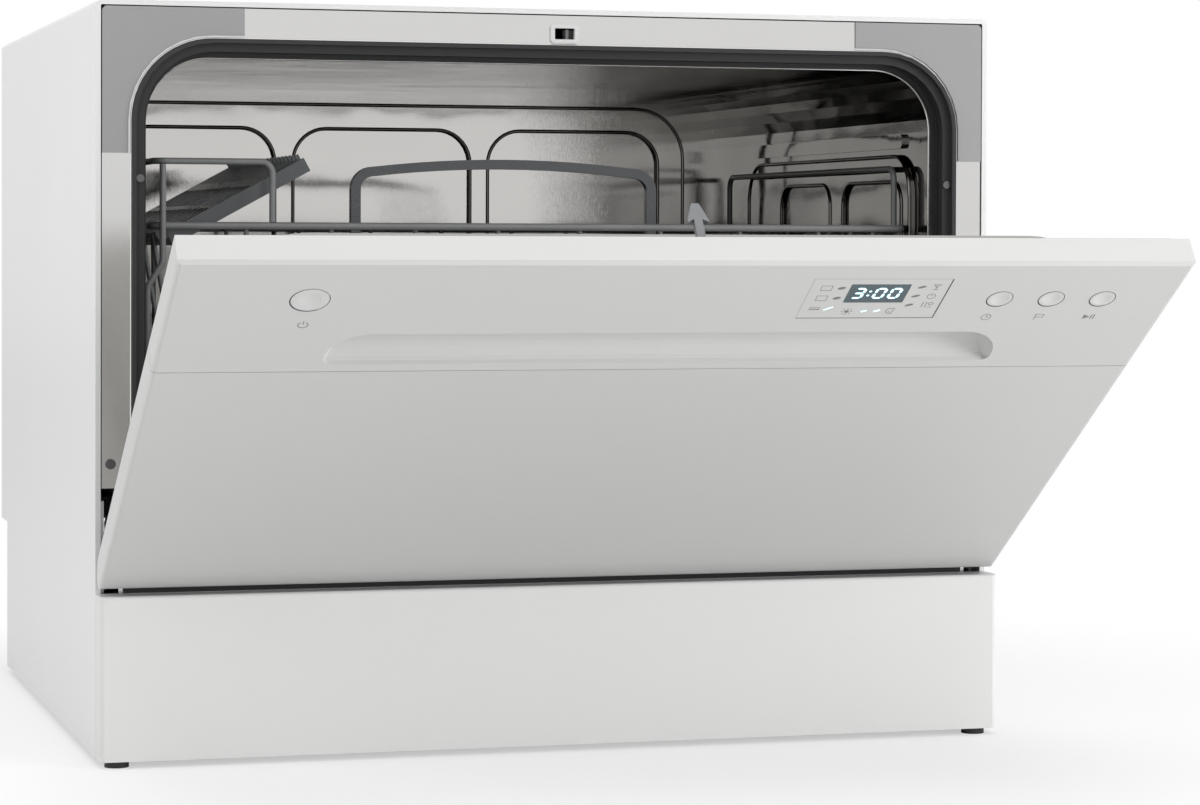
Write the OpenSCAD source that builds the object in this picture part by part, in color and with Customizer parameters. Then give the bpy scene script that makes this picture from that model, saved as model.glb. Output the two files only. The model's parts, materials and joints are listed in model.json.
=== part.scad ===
// Countertop dishwasher: a painted steel cabinet round a stainless tub, with a drop-down door, a wire
// rack on wheels, a cutlery basket, a folding cup shelf, a spray arm and the water parts below the tub.
// Sizes are millimetres. X runs to the right, Y to the rear and Z up from the worktop.
// The door stands half open. Door parts are drawn as if it were shut and then turned on its hinge.

/* [Cabinet] */
// Overall width across the side panels
body_w = 550; // [540:2:600]
// Overall height above the worktop
body_h = 440; // [430:2:480]
// Depth from the shut door's face to the rear
body_d = 500; // [495:5:560]
// Thickness of the painted cabinet sheet
sheet_t = 1; // [0.8:0.1:1.2]
// Outer radius of the two bends along the top
wrap_r = 4; // [3.5:0.5:7]
// Set-back of the cabinet's front edge behind the door face
cab_setback = 20; // [19.6:0.2:22]
// Width of the hem folded inwards along the cabinet's front edge
hem_w = 3; // [2:0.5:4]
// Depth of the recess for the connections at the lower rear
recess_d = 35; // [30:1:45]
// Height of the top of that recess above the worktop
recess_h = 105; // [100:1:112]
// Height of the feet that shows below the cabinet
foot_h = 4; // [3:0.5:8]
// Diameter of a foot
foot_d = 14; // [12:1:18]
// Height of the plinth panel
plinth_h = 94.5; // [90:0.5:96]
// Wall of the moulded base and plinth
base_wall = 2.5; // [2:0.1:3]

/* [Door] */
// Gap between the plinth and the shut door
door_gap = 3; // [2.6:0.2:4]
// Depth of the door's outer shell
door_t = 16.5; // [16:0.25:17]
// Distance from the cabinet's top down to the shut door's top
door_drop = 0.5; // [0:0.5:4]
// Angle of the half-open door, from shut
door_open = 55.8; // [45:0.2:65]
// Hinge axis behind the door's face
hinge_in = 5; // [4.9:0.1:5.6]
// Hinge axis above the door's lower edge
hinge_up = 7.5; // [7.3:0.1:8.5]
// Diameter of the hinge pins
pin_d = 4; // [3:0.5:4]
// Thickness of the door's steel sheet
skin_t = 1; // [0.8:0.1:1]
// Height of the seam between lower panel and control panel
seam_v = 235.5; // [230:0.5:237]
// Wall of the moulded control panel
fascia_t = 2.2; // [1.8:0.1:2.4]
// Depth of the liner's raised middle
plateau_rise = 25.5; // [22:0.5:26]
// Height of the raised middle's lower edge on the door
plateau_v0 = 33; // [32:1:36]

/* [Controls] */
// Diameter of the power button
power_d = 20; // [16:0.5:24]
// Diameter of the three small buttons
key_d = 14; // [10:0.5:16]
// Distance between the small buttons
key_pitch = 30; // [22:1:32]
// Travel of a pressed button
key_travel = 1.8; // [1:0.1:2]
// Height of the button centres on the door
key_v = 304; // [302:0.5:307]
// Width of the display window
window_w = 78; // [70:1:80]
// Height of the display window
window_h = 37.5; // [34:0.5:38]
// Length of the handle recess
grip_w = 374; // [300:2:380]
// Height of the handle recess
grip_h = 29; // [26:1:30]
// Depth of the handle recess
grip_depth = 11; // [8:0.5:11.5]
// Lean of the recess's end walls
grip_slope = 9; // [4:0.5:12]

/* [Tub] */
// Width of the front frame's side flange
flange_w = 20.3; // [19.5:0.1:22]
// Height of the front frame's top flange
flange_top = 21; // [20:0.5:24]
// Corner radius of the frame's opening
mouth_r = 48; // [42:1:54]
// Width of the door gasket
gasket_w = 8; // [7:0.5:8.5]
// Distance from the frame's opening to the tub wall
tub_inset = 10.5; // [10:0.25:11]
// Thickness of the tub's stainless sheet
tub_t = 0.8; // [0.6:0.1:1]
// Distance of the tub's back wall from the shut door's face
tub_back_y = 440; // [432:1:446]
// Width of the rail that the rack's wheels run on
rail_w = 26; // [24:1:28]
// Height of the pressed panels on the tub walls
press_h = 2.5; // [1.5:0.5:3]

/* [Rack] */
// Diameter of the rack's frame wires
frame_wire = 4.5; // [4:0.5:5]
// Diameter of the rack's basket wires
basket_wire = 3; // [2.5:0.5:3.5]
// Height of the rack's rim above its wheels' track
rim_up = 164.5; // [150:0.5:166]
// Width of the rack's rim between wire centres
rim_w = 470; // [450:2:472]
// Front of the rack's rim behind the shut door's face
rim_front = 58; // [56:1:62]
// Rear of the rack's rim behind the shut door's face
rim_rear = 424; // [410:1:426]
// Diameter of the rack's wheels
wheel_d = 24; // [22:1:25]
// Number of basket wires that run across
cross_count = 8; // [6:1:9]
// Number of basket wires that run front to rear
long_count = 8; // [6:1:9]
// Number of plate tines in a row
tine_count = 8; // [6:1:9]
// Travel of the rack with the door half open
rack_travel = 60; // [40:5:60]

/* [Basket and shelf] */
// Length of the cutlery basket
cutlery_w = 196; // [160:2:220]
// Place of the cutlery basket's middle, across
cutlery_x = -7; // [-20:1:0]
// Depth of the cutlery basket
cutlery_d = 66; // [56:1:70]
// Height of the cutlery basket's walls
cutlery_h = 118; // [100:2:122]
// Wall of the cutlery basket
cutlery_wall = 2; // [1.6:0.1:2.4]
// Compartments along the basket
cutlery_cols = 4; // [3:1:5]
// Length of the cup shelf from its hinge
shelf_l = 100; // [84:1:100]
// Depth of the cup shelf, front to rear
shelf_w = 250; // [200:5:270]
// Tilt of the lowered cup shelf
shelf_tilt = 28.6; // [20:0.2:30]
// Height of the cup shelf's rims
shelf_rim = 8.6; // [6:0.2:10]
// Drop of the tray's top below the hinge
shelf_drop = 8; // [6:0.5:10]

/* [Water parts] */
// Radius of the spray arm
arm_r = 180; // [150:2:184]
// Height of the spray arm's axis above the tub floor
arm_up = 17; // [16:0.5:19]
// Turn of the resting spray arm
arm_turn = 24; // [0:2:60]
// Outer diameter of the water inlet's pipe thread
inlet_d = 26.44; // [20:0.02:27]
// Outer diameter of the drain spigot
drain_d = 19; // [16:0.5:22]
// Bore of the cable gland
gland_d = 8; // [6:0.5:10]
// Diameter of the balance springs
spring_d = 13; // [10:0.5:14]
// Wire diameter of the balance springs
spring_wire = 1.8; // [1.4:0.1:2]
// Turns of a balance spring
spring_turns = 20; // [12:1:24]

/* [Fits] */
// Running clearance round a turning pin
pin_fit = 0.06; // [0.03:0.01:0.1]
// Gap round a button or a moving cap
key_fit = 0.4; // [0.3:0.05:0.6]
// Gap between pieces that only lie beside each other
seat_fit = 0.3; // [0.2:0.05:0.4]
// Gap between crossing wires at their welds
weld_fit = 0.05; // [0.03:0.01:0.1]

/* [Hidden] */
$fn = 48;

// Heights of the shut door and its hinge
plinth_top = foot_h + plinth_h;
door_z0 = plinth_top + door_gap;
door_h = body_h - door_drop - door_z0;
hinge_z = door_z0 + hinge_up;
// The origin lies below the middle of everything, door included
reach = (door_h - hinge_up) * sin(door_open) - hinge_in * (1 - cos(door_open));
front_y = -(body_d - reach) / 2;

// Front frame and mouth of the tub
frame_y = cab_setback + sheet_t;
frame_half = body_w / 2 - hem_w - 0.7;
frame_top = body_h - hem_w - 0.7;
frame_low = plinth_top - 2;
mouth_w = body_w - 2 * flange_w;
mouth_top = body_h - flange_top;
mouth_low = door_z0 + 27;
channel_y = frame_y + 16;
tub_w = mouth_w - 2 * tub_inset;
tub_top = mouth_top - tub_inset;
tub_r = mouth_r - tub_inset;
liner_y = door_t + 0.8;
plateau_y = door_t + plateau_rise;
plateau_w = mouth_w - 2 * gasket_w - 14;
plateau_v1 = tub_top - 2.3 - door_z0;
plateau_r = 36;
rear_set = 1.4;

// Tub floor: the rails meet the level of the flat-open door
rail_z = hinge_z + plateau_y - hinge_in;
floor_z = mouth_low - 4;
floor_half = tub_w / 2 - rail_w - 14;
hub = [0, 238];
sump_c = [104, 238];
salt_c = [-150, 340];
sump_r = 55;
cup_r = 38;
riser_r = 11;
salt_r = 27;
pump_z = 66;

// Base tray and the rear recess
tray_half = body_w / 2 - sheet_t - 0.2;
tray_y0 = frame_y + tub_t;
recess_y = body_d - recess_d;
service_z = 58;
inlet_x = -205;
drain_x = -150;
gland_x = 205;

// Hinge plates stand side by side between the base wall and the door
bracket_x = tray_half - base_wall;
arm_x = bracket_x - 4.2;
plate_t = 2.5;
ear_r = hinge_in - skin_t - 0.5;
pocket_z = hinge_z + 50;
slot_x0 = arm_x - plate_t - 3;
slot_x1 = bracket_x + 1;
tail = [38, -10];
spring_end = [330, 48];
spring_x = arm_x - plate_t - 4;

// Rack levels and wires
wheel_r = wheel_d / 2;
axle_z = rail_z + wheel_r;
axle_y = [112, 345];
wheel_x = tub_w / 2 - rail_w / 2 - 2;
wheel_w = 8;
axle_r = 3;
rim_z = rail_z + rim_up;
rack_z = rail_z + wheel_d + 2;
slope_in = 24;
runner_x = 186;
arch_z = rim_z + 38;
mid_z = rack_z + 62;
fr = frame_wire / 2;
br = basket_wire / 2;
rim_in = fr + br + weld_fit;

// Cutlery basket stands on the basket wires, behind the rim
cutlery_y = rim_front + fr + slope_in * 0.55 + 12;
cutlery_z = rack_z + 3 * br + 2 * weld_fit;

// Cup shelf hinges on the left side of the rim
shelf_axis = [-rim_w / 2, rim_z];
shelf_y0 = rim_front + 14;
cross_pitch = (rim_rear - rim_front - 80) / (cross_count - 1);
long_pitch = (rim_w - 110) / (long_count - 1);
arch_r = fr - 0.35;

// Places of the controls on the door
power_x = -203;
key_x = 173;
window_x = 101;
window_v = key_v + 0.8;
lcd_w = 33.6;
lcd_h = 17.6;
lcd_v = window_v + 4.8;
grip_v = seam_v + 7.5;
board_y = fascia_t + 8.2;
latch_x = 4;
latch_z = body_h - 14.5;
lock_y = frame_y + 14;

module at_front() { translate([0, front_y, 0]) children(); }
module both_sides() { children(); mirror([1, 0, 0]) children(); }
// Turns door pieces, drawn shut, to the half-open place
module on_door() {
  translate([0, front_y + hinge_in, hinge_z]) rotate([door_open, 0, 0])
    translate([0, -hinge_in, -hinge_z]) children();
}
// Extrudes an outline drawn in X and Z from y0 to y1
module along_y(y0, y1) { translate([0, y1, 0]) rotate([90, 0, 0]) linear_extrude(y1 - y0) children(); }
// Extrudes an outline drawn in Y and Z from x0 to x1
module along_x(x0, x1) { translate([x0, 0, 0]) rotate([90, 0, 90]) linear_extrude(x1 - x0) children(); }
module rod_y(x, z, y0, y1, r) { translate([x, y1, z]) rotate([90, 0, 0]) cylinder(r = r, h = y1 - y0); }
module rod_x(y, z, x0, x1, r) { translate([x0, y, z]) rotate([0, 90, 0]) cylinder(r = r, h = x1 - x0); }

// Points of a quarter round with centre (x, z), from angle a on
function quarter(x, z, r, a) = [for (i = [0 : 8]) [x + r * cos(a + 11.25 * i), z + r * sin(a + 11.25 * i)]];
// Plate outline from z0 to z1 with upper corner radius rt and lower radius rb
module slab(w, z0, z1, rt, rb) {
  h = w / 2;
  polygon(concat(quarter(h - rt, z1 - rt, rt, 0), quarter(-h + rt, z1 - rt, rt, 90),
    quarter(-h + rb, z0 + rb, rb, 180), quarter(h - rb, z0 + rb, rb, 270)));
}
module pad(x0, x1, z0, z1, r) { translate([(x0 + x1) / 2, 0]) slab(x1 - x0, z0, z1, r, r); }
// Wires: straight rods joined by true round bends
function unit(v) = v / norm(v);
function leg(p, i) = unit(p[i + 1] - p[i]);
function bend(p, i) = acos(min(1, leg(p, i - 1) * leg(p, i)));
function trim(p, i, rb) = (i == 0 || i == len(p) - 1) ? 0 : rb * tan(bend(p, i) / 2);
module rod(a, b, r) {
  d = b - a;
  translate(a) rotate([0, acos(d.z / norm(d)), atan2(d.y, d.x)]) cylinder(r = r, h = norm(d));
}
module elbow(p, i, rb, r) {
  d1 = leg(p, i - 1);
  d2 = leg(p, i);
  n = unit(d2 - d1 * (d1 * d2));
  k = cross(-n, d1);
  c = p[i] - d1 * trim(p, i, rb) + n * rb;
  multmatrix([[-n.x, d1.x, k.x, c.x], [-n.y, d1.y, k.y, c.y], [-n.z, d1.z, k.z, c.z], [0, 0, 0, 1]])
    rotate_extrude(angle = bend(p, i)) translate([rb, 0]) circle(r = r);
}
// A straight ends a little inside the bend, and the bend is 0.02 mm stouter, so they join in one piece
function butt(p, i, rb) = (i == 0 || i == len(p) - 1) ? 0 : trim(p, i, rb) - 0.2;
module wire(p, r, rb) {
  for (i = [0 : len(p) - 2])
    rod(p[i] + leg(p, i) * butt(p, i, rb), p[i + 1] - leg(p, i) * butt(p, i + 1, rb), r);
  for (i = [1 : len(p) - 2]) elbow(p, i, rb, r + 0.02);
}
// Level closed loop of wire, x from -w / 2 to w / 2 and y from y0 to y1
module loop(w, y0, y1, z, r, rb) {
  h = w / 2;
  wire([[0, y0, z], [h, y0, z], [h, y1, z], [-h, y1, z], [-h, y0, z], [0, y0, z]], r, rb);
}

// Cabinet
module wrap_outline(i, z0) {
  difference() {
    translate([-body_w / 2 + i, z0]) square([body_w - 2 * i, body_h - i - z0]);
    for (s = [-1, 1]) scale([s, 1]) translate([body_w / 2 - wrap_r, body_h - wrap_r]) difference() {
      square(wrap_r + 1);
      circle(r = max(wrap_r - i, 0.4));
    }
  }
}
module wrap_band(y0, y1, t) {
  along_y(y0, y1) difference() {
    wrap_outline(0, foot_h);
    wrap_outline(t, foot_h - 1);
  }
}
module cabinet_wrap() {
  color("whitesmoke") at_front() difference() {
    union() {
      wrap_band(cab_setback, body_d, sheet_t);
      wrap_band(cab_setback, cab_setback + sheet_t, hem_w);
      wrap_band(body_d - rear_set - sheet_t, body_d - rear_set, 12);
    }
    rear_holes();
    translate([-body_w, recess_y, 0]) cube([2 * body_w, recess_d + 1, recess_h]);
  }
}
module rear_holes() {
  for (s = [-1, 1], z = [recess_h + 21, body_h - sheet_t - 21])
    rod_y(s * (body_w / 2 - sheet_t - 5.5), z, body_d - 8, body_d + 1, 1.7);
}
module rear_panel() {
  y1 = body_d - rear_set - sheet_t;
  w = body_w - 2 * sheet_t - 1;
  z0 = recess_h + 1;
  z1 = body_h - sheet_t - 1;
  color("gainsboro") at_front() difference() {
    union() {
      along_y(y1 - sheet_t, y1) pad(-w / 2, w / 2, z0, z1, 4);
      along_y(recess_y, y1) pad(-w / 2, w / 2, z0, z0 + sheet_t, 0.4);
      for (x = [-150, 0, 150]) along_y(y1, body_d - 0.4) pad(x - 50, x + 50, z0 + 60, z1 - 60, 12);
    }
    for (x = [-150 : 100 : 150], k = [0 : 5]) along_y(y1 - 2, y1 + 1)
      pad(x - 42, x + 42, z0 + 18 + 6 * k, z0 + 21 + 6 * k, 1.4);
    rear_holes();
  }
}
module base_tray() {
  z1 = plinth_top - 2;
  color("dimgray") at_front() difference() {
    union() {
      translate([-tray_half, tray_y0, foot_h]) cube([2 * tray_half, recess_y - tray_y0, z1 - foot_h]);
      translate([-tray_half, tray_y0, z1 - 1]) cube([2 * tray_half, base_wall, 9]);
    }
    translate([-bracket_x, tray_y0 + base_wall, foot_h + 3])
      cube([2 * bracket_x, recess_y - tray_y0 - 2 * base_wall, z1]);
    for (s = [-1, 1]) translate([s * (bracket_x - 12) - 14, tray_y0 - 1, z1 - 1]) cube([28, 10, 12]);
    rod_y(inlet_x, service_z, recess_y - 10, recess_y + 1, inlet_d / 2 + 2);
    rod_y(drain_x, pump_z, recess_y - 10, recess_y + 1, drain_d / 2 + 1.2);
    rod_y(gland_x, service_z, recess_y - 10, recess_y + 1, gland_d / 2 + 4);
    for (x = [-90 : 15 : 90]) along_y(recess_y - 10, recess_y + 1) pad(x - 2, x + 2, 30, 78, 1.8);
  }
  // Posts that carry the spring anchors
  color("dimgray") at_front() both_sides() difference() {
    translate([spring_x + 2, spring_end.x - 6, foot_h + 3]) cube([8, 12, spring_end.y - foot_h + 4]);
    rod_x(spring_end.x, spring_end.y, 0, body_w, 1.6);
  }
}
module plinth_block(i) {
  h = body_w / 2;
  intersection() {
    along_x(-h + i, h - i) difference() {
      translate([i, foot_h + i]) square([cab_setback - 0.5 + i, plinth_h - 2 * i]);
      translate([2, plinth_top - 2]) difference() {
        translate([-3, 0]) square(3);
        circle(r = 2 - min(i, 1.5));
      }
    }
    translate([0, 0, foot_h - 1]) linear_extrude(plinth_h + 2) difference() {
      translate([-h + i, i]) square([body_w - 2 * i, cab_setback + 20]);
      for (s = [-1, 1]) scale([s, 1]) translate([h - 3, 3]) difference() {
        translate([0, -4]) square(4);
        circle(r = 3 - min(i, 2.5));
      }
    }
  }
}
module plinth_panel() {
  color("silver") at_front() {
    difference() {
      intersection() {
        plinth_block(0);
        translate([-body_w, -1, 0]) cube([2 * body_w, cab_setback + 0.5, body_h]);
      }
      plinth_block(base_wall);
    }
    // Clips that hold the panel against the base
    for (x = [-200, -70, 70, 200], z = [24, 72])
      translate([x - 8, base_wall, z]) cube([16, tray_y0 - base_wall, 2.5]);
  }
}
foot_x = body_w / 2 - 11;
foot_y = [tray_y0 + 12, recess_y - 22];
module feet() {
  color("black") at_front() for (s = [-1, 1], y = foot_y) {
    translate([s * foot_x, y, 0]) cylinder(r = foot_d / 2, h = foot_h);
  }
  color("black") at_front() for (s = [-1, 1])
    translate([s * foot_x, 11, 0]) cylinder(r = foot_d / 2, h = foot_h);
}

// Front frame, gasket and striker
module frame_outline() { slab(2 * frame_half, frame_low, frame_top, 3, 3); }
module mouth_outline(i) {
  slab(mouth_w - 2 * i, mouth_low + i, mouth_top - i, mouth_r - i, max(14 - i, 0.5));
}
module front_frame() {
  color("gainsboro") at_front() difference() {
    union() {
      along_y(frame_y, tray_y0) difference() { frame_outline(); mouth_outline(0); }
      along_y(frame_y, channel_y) difference() { mouth_outline(-tub_t); mouth_outline(0); }
      along_y(frame_y, frame_y + 10) difference() {
        frame_outline();
        offset(delta = -tub_t) frame_outline();
        translate([-body_w, 0]) square([2 * body_w, 170]);
      }
    }
    both_sides() translate([slot_x0, 0, 0]) cube([frame_half - slot_x0 + 1, body_d, pocket_z]);
    along_y(frame_y - 1, tray_y0 + 1) pad(latch_x - 7.2, latch_x + 7.2, latch_z - 4.4, latch_z + 4.4, 1);
    for (s = [-1, 1]) rod_y(s * (frame_half - 5), hinge_z + 64, frame_y - 1, tray_y0 + 1, 1.7);
  }
}
module corner_cover(s) {
  x_in = mouth_w / 2 - mouth_r - 18;
  z_in = body_h - 88;
  color("darkgray") at_front() along_y(frame_y - 1.2, frame_y) scale([s, 1]) difference() {
    frame_outline();
    mouth_outline(-1.5);
    translate([-body_w, 0]) square([body_w + x_in, body_h]);
    square([body_w, z_in]);
  }
}
module corner_cover_left() { corner_cover(-1); }
module corner_cover_right() { corner_cover(1); }
module door_gasket() {
  z_end = mouth_low + 11;
  color([0.16, 0.16, 0.17]) at_front() difference() {
    union() {
      along_y(frame_y + 1, channel_y) difference() { mouth_outline(seat_fit); mouth_outline(gasket_w); }
      along_y(liner_y + 0.5, frame_y + 1) difference() {
        mouth_outline(seat_fit + 0.2);
        mouth_outline(3);
      }
      along_y(channel_y - 4, channel_y) difference() { mouth_outline(gasket_w); mouth_outline(tub_inset); }
    }
    translate([-body_w, 0, 0]) cube([2 * body_w, body_d, z_end]);
    along_y(channel_y - 9, channel_y - 6) difference() { mouth_outline(gasket_w - 1); mouth_outline(gasket_w + 1); }
    for (s = [-1, 1]) rod_y(s * (mouth_w / 2 - 5.6), arch_z - 11, frame_y, frame_y + 13, 1.3);
  }
}
module latch_bezel() {
  color("lightgray") at_front() difference() {
    union() {
      along_y(frame_y - 1.4, frame_y) pad(latch_x - 8.7, latch_x + 8.7, latch_z - 5.5, latch_z + 5.5, 2);
      along_y(frame_y - 0.1, lock_y - 12) pad(latch_x - 7, latch_x + 7, latch_z - 4.2, latch_z + 4.2, 1);
    }
    along_y(frame_y - 2, lock_y) pad(latch_x - 6.1, latch_x + 6.1, latch_z - 3.3, latch_z + 3.3, 0.6);
  }
}
// Lock on the cabinet: a box whose sprung catch grips the door's hook
module latch_lock() {
  z0 = mouth_top + tub_t + 0.4;
  color("dimgray") at_front() difference() {
    translate([latch_x - 12, lock_y - 12, z0]) cube([32, 46, frame_top - 1 - z0]);
    translate([latch_x - 6.6, lock_y - 13, latch_z - 3.6]) cube([13.2, 34, 7.2]);
    translate([latch_x + 2, lock_y - 9, latch_z - 3.3]) cube([14, 30, 6.6]);
    translate([latch_x + 10.5, lock_y + 16, 0]) cylinder(r = 1.5 + pin_fit, h = body_h);
  }
}
module latch_catch() {
  color("whitesmoke") at_front() {
    translate([latch_x, lock_y, latch_z - 2.9]) linear_extrude(5.8) polygon([[2.7, -7], [4.3, -8], [4.3, -2.4],
      [9, -2.4], [12.5, 14], [12.5, 18], [8.5, 18], [8.5, 14], [6.8, -0.4], [2.7, -0.4]]);
    translate([latch_x + 10.5, lock_y + 16, latch_z - 4]) cylinder(r = 1.5, h = 8);
  }
}

// Tub
module tub_outline(i) { slab(tub_w - 2 * i, -60, tub_top - i, tub_r - i, 1); }
module press_x(s, y0, y1, z0, z1, r) {
  scale([s, 1, 1]) along_x(tub_w / 2 - press_h, tub_w / 2) pad(y0, y1, z0, z1, r);
}
module tub_wrap() {
  color("silver") at_front() {
    difference() {
      union() {
        along_y(channel_y, tub_back_y) difference() { tub_outline(-tub_t); tub_outline(0); }
        along_y(channel_y, channel_y + tub_t) difference() { mouth_outline(-tub_t); tub_outline(0); }
      }
      translate([-body_w, 0, -100]) cube([2 * body_w, body_d, rail_z + 100]);
    }
    // Pressed panels of the side walls
    for (s = [-1, 1]) {
      difference() {
        press_x(s, 64, 376, rail_z + 22, tub_top - 52, 26);
        for (p = side_panels) scale([s, 1, 1])
          along_x(tub_w / 2 - press_h - 1, tub_w / 2 - 1) pad(p.x, p.y, rail_z + 38, tub_top - 68, 15);
      }
      press_x(s, 78, 368, tub_top - 47, tub_top - tub_r - 0.5, 3.5);
    }
  }
}
// Panels sunk into the pressings, along the side walls and across the back
side_panels = [[78, 184], [208, 306]];
back_panels = [[-204, -91], [-78, 51], [64, 192]];
module tub_back() {
  color("silver") at_front() {
    along_y(tub_back_y, tub_back_y + tub_t) slab(tub_w + 2 * tub_t, mouth_low - 20, tub_top + tub_t, tub_r + tub_t, 4);
    along_y(tub_back_y - press_h, tub_back_y) difference() {
      pad(-220, 211, rail_z + 20, tub_top - 10, 36);
      for (p = back_panels) pad(p.x, p.y, rail_z + 36, tub_top - 27, 24);
    }
  }
}
// Half section of the floor pressing, wall to middle: rail, slope and floor, i below the surface
function floor_half_line(s, i, z) = [[s * (tub_w / 2 - i), rail_z + 8], [s * (tub_w / 2 - i), z + i - tub_t],
  [s * (tub_w / 2 - rail_w + 0.5 * i), z + i - tub_t], [s * (floor_half - 0.5 + 0.5 * i), floor_z + i - tub_t]];
// Whole section, with the top of its rails at za and their underside at zb
module floor_section(za, zb) {
  upper = concat(floor_half_line(-1, tub_t, za), [for (k = [3 : -1 : 0]) floor_half_line(1, tub_t, za)[k]]);
  lower = concat(floor_half_line(1, 0, zb), [for (k = [3 : -1 : 0]) floor_half_line(-1, 0, zb)[k]]);
  polygon(concat(upper, lower));
}
step_z = rail_z - 15;
module tub_floor() {
  color("silver") at_front() difference() {
    union() {
      along_y(plateau_y + 1.5, tub_back_y) floor_section(rail_z, rail_z);
      // Low step in front of the rails, where the raised middle of the closed door comes in
      along_y(channel_y, plateau_y + 1.5) floor_section(step_z, step_z);
      along_y(plateau_y + 1.5, plateau_y + 1.5 + tub_t) floor_section(rail_z, step_z);
      // Front lip up to the mouth
      translate([-floor_half + 3, channel_y, floor_z - tub_t / 2]) cube([2 * floor_half - 6, tub_t, mouth_low - floor_z]);
    }
    translate([sump_c.x, sump_c.y, 0]) cylinder(r = cup_r + 10, h = body_h);
    translate([hub.x, hub.y, 0]) cylinder(r = riser_r + 0.5, h = body_h);
    translate([salt_c.x, salt_c.y, 0]) cylinder(r = salt_r + 1, h = body_h);
  }
}

// Water parts
module sump_housing() {
  top = floor_z - tub_t;
  color("dimgray") at_front() difference() {
    union() {
      translate([sump_c.x, sump_c.y, 44]) cylinder(r = sump_r, h = top - 44);
      translate([sump_c.x, sump_c.y, top - 3]) cylinder(r = sump_r + 8, h = 3);
      rod_x(sump_c.y, pump_z, sump_c.x, sump_c.x + sump_r + 6, 16);
      rod_y(sump_c.x, pump_z, sump_c.y, sump_c.y + sump_r + 6, 13);
      // Foot that stands on the base
      translate([sump_c.x, sump_c.y, foot_h + 3]) cylinder(r = 22, h = 41 - foot_h);
    }
    translate([sump_c.x, sump_c.y, 47]) cylinder(r = sump_r - 3, h = body_h);
    rod_x(sump_c.y, pump_z, sump_c.x, sump_c.x + sump_r + 7, 12);
    rod_y(sump_c.x, pump_z, sump_c.y, sump_c.y + sump_r + 7, 9);
  }
}
module filter_plate() {
  color("silver") at_front() translate([sump_c.x, sump_c.y, floor_z]) difference() {
    cylinder(r = sump_r + 14, h = 1.4);
    translate([0, 0, -1]) cylinder(r = cup_r + 0.6, h = 5);
    for (a = [0 : 15 : 345]) rotate(a) translate([sump_r - 2, 0, -1]) cylinder(r = 2.6, h = 5);
    for (a = [7.5 : 15 : 352.5]) rotate(a) translate([sump_r + 7, 0, -1]) cylinder(r = 2.6, h = 5);
  }
}
module filter_cup() {
  color("slategray") at_front() translate([sump_c.x, sump_c.y, 0]) difference() {
    union() {
      translate([0, 0, 52]) cylinder(r = cup_r, h = floor_z + 1.4 + seat_fit - 52);
      translate([0, 0, floor_z + 1.4 + seat_fit]) cylinder(r = cup_r + 5, h = 2.4);
    }
    translate([0, 0, 54]) cylinder(r = cup_r - 2, h = body_h);
    for (a = [22.5 : 45 : 157.5]) rotate(a) translate([-cup_r - 5, -5, 62]) cube([2 * cup_r + 10, 10, 46]);
  }
  // Cross handle for turning the cup out
  color("slategray") at_front() translate([sump_c.x, sump_c.y, floor_z - 8]) for (a = [0, 90])
    rotate(a) translate([-cup_r + 1, -1.5, 0]) cube([2 * cup_r - 2, 3, 11.5]);
}
module spray_riser() {
  top = floor_z + arm_up;
  color("gray") at_front() difference() {
    union() {
      translate([hub.x, hub.y, 84]) cylinder(r = riser_r, h = top + 2 - 84);
      translate([hub.x, hub.y, floor_z]) cylinder(r = riser_r + 6, h = 3);
      rod_x(hub.y, 96, hub.x, sump_c.x - sump_r, riser_r + 1);
      translate([hub.x, hub.y, 84]) cylinder(r = riser_r + 3, h = 24);
    }
    translate([hub.x, hub.y, 88]) cylinder(r = riser_r - 3, h = body_h);
    rod_x(hub.y, 96, hub.x, sump_c.x - sump_r + 1, riser_r - 2);
  }
}
module arm_outline(i) {
  hull() {
    circle(r = 25 - i);
    for (s = [-1, 1]) translate([s * (arm_r - 13), s * 8]) circle(r = 13 - i);
  }
}
module spray_arm() {
  z0 = floor_z + arm_up - 7;
  color("lightgray") at_front() translate([hub.x, hub.y, z0]) rotate(arm_turn) difference() {
    union() {
      linear_extrude(4) arm_outline(1.5);
      translate([0, 0, 4]) linear_extrude(6) arm_outline(0);
      translate([0, 0, 10]) linear_extrude(2.5) arm_outline(3);
      cylinder(r = 28, h = 14);
    }
    // Bearing bore on the riser and the water way along the arm
    translate([0, 0, -1]) cylinder(r = riser_r + pin_fit, h = 11);
    for (s = [-1, 1], k = [0 : 4]) {
      x = s * (40 + k * (arm_r - 62) / 4);
      translate([x, s * 8 * abs(x) / arm_r - 1.2, 8]) cube([7, 2.4, 8]);
    }
    for (s = [-1, 1]) translate([s * 16, 0, 8]) cylinder(r = 3, h = 10);
    // Notches of the hub nut
    for (a = [0 : 60 : 300]) rotate(a) translate([26, -2, 12.5]) cube([4, 4, 4]);
  }
}
module circulation_pump() {
  x0 = sump_c.x + sump_r + 6;
  color("darkslategray") at_front() {
    rod_x(sump_c.y, pump_z, x0, x0 + 24, 36);
    rod_x(sump_c.y, pump_z, x0 + 24, x0 + 66, 32);
    rod_x(sump_c.y, pump_z, x0 + 66, x0 + 72, 12);
    // Rubber mount below the motor
    difference() {
      translate([x0 + 28, sump_c.y - 20, foot_h + 3]) cube([34, 40, pump_z - foot_h - 12]);
      rod_x(sump_c.y, pump_z, x0 + 27, x0 + 64, 32);
    }
  }
}
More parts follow.
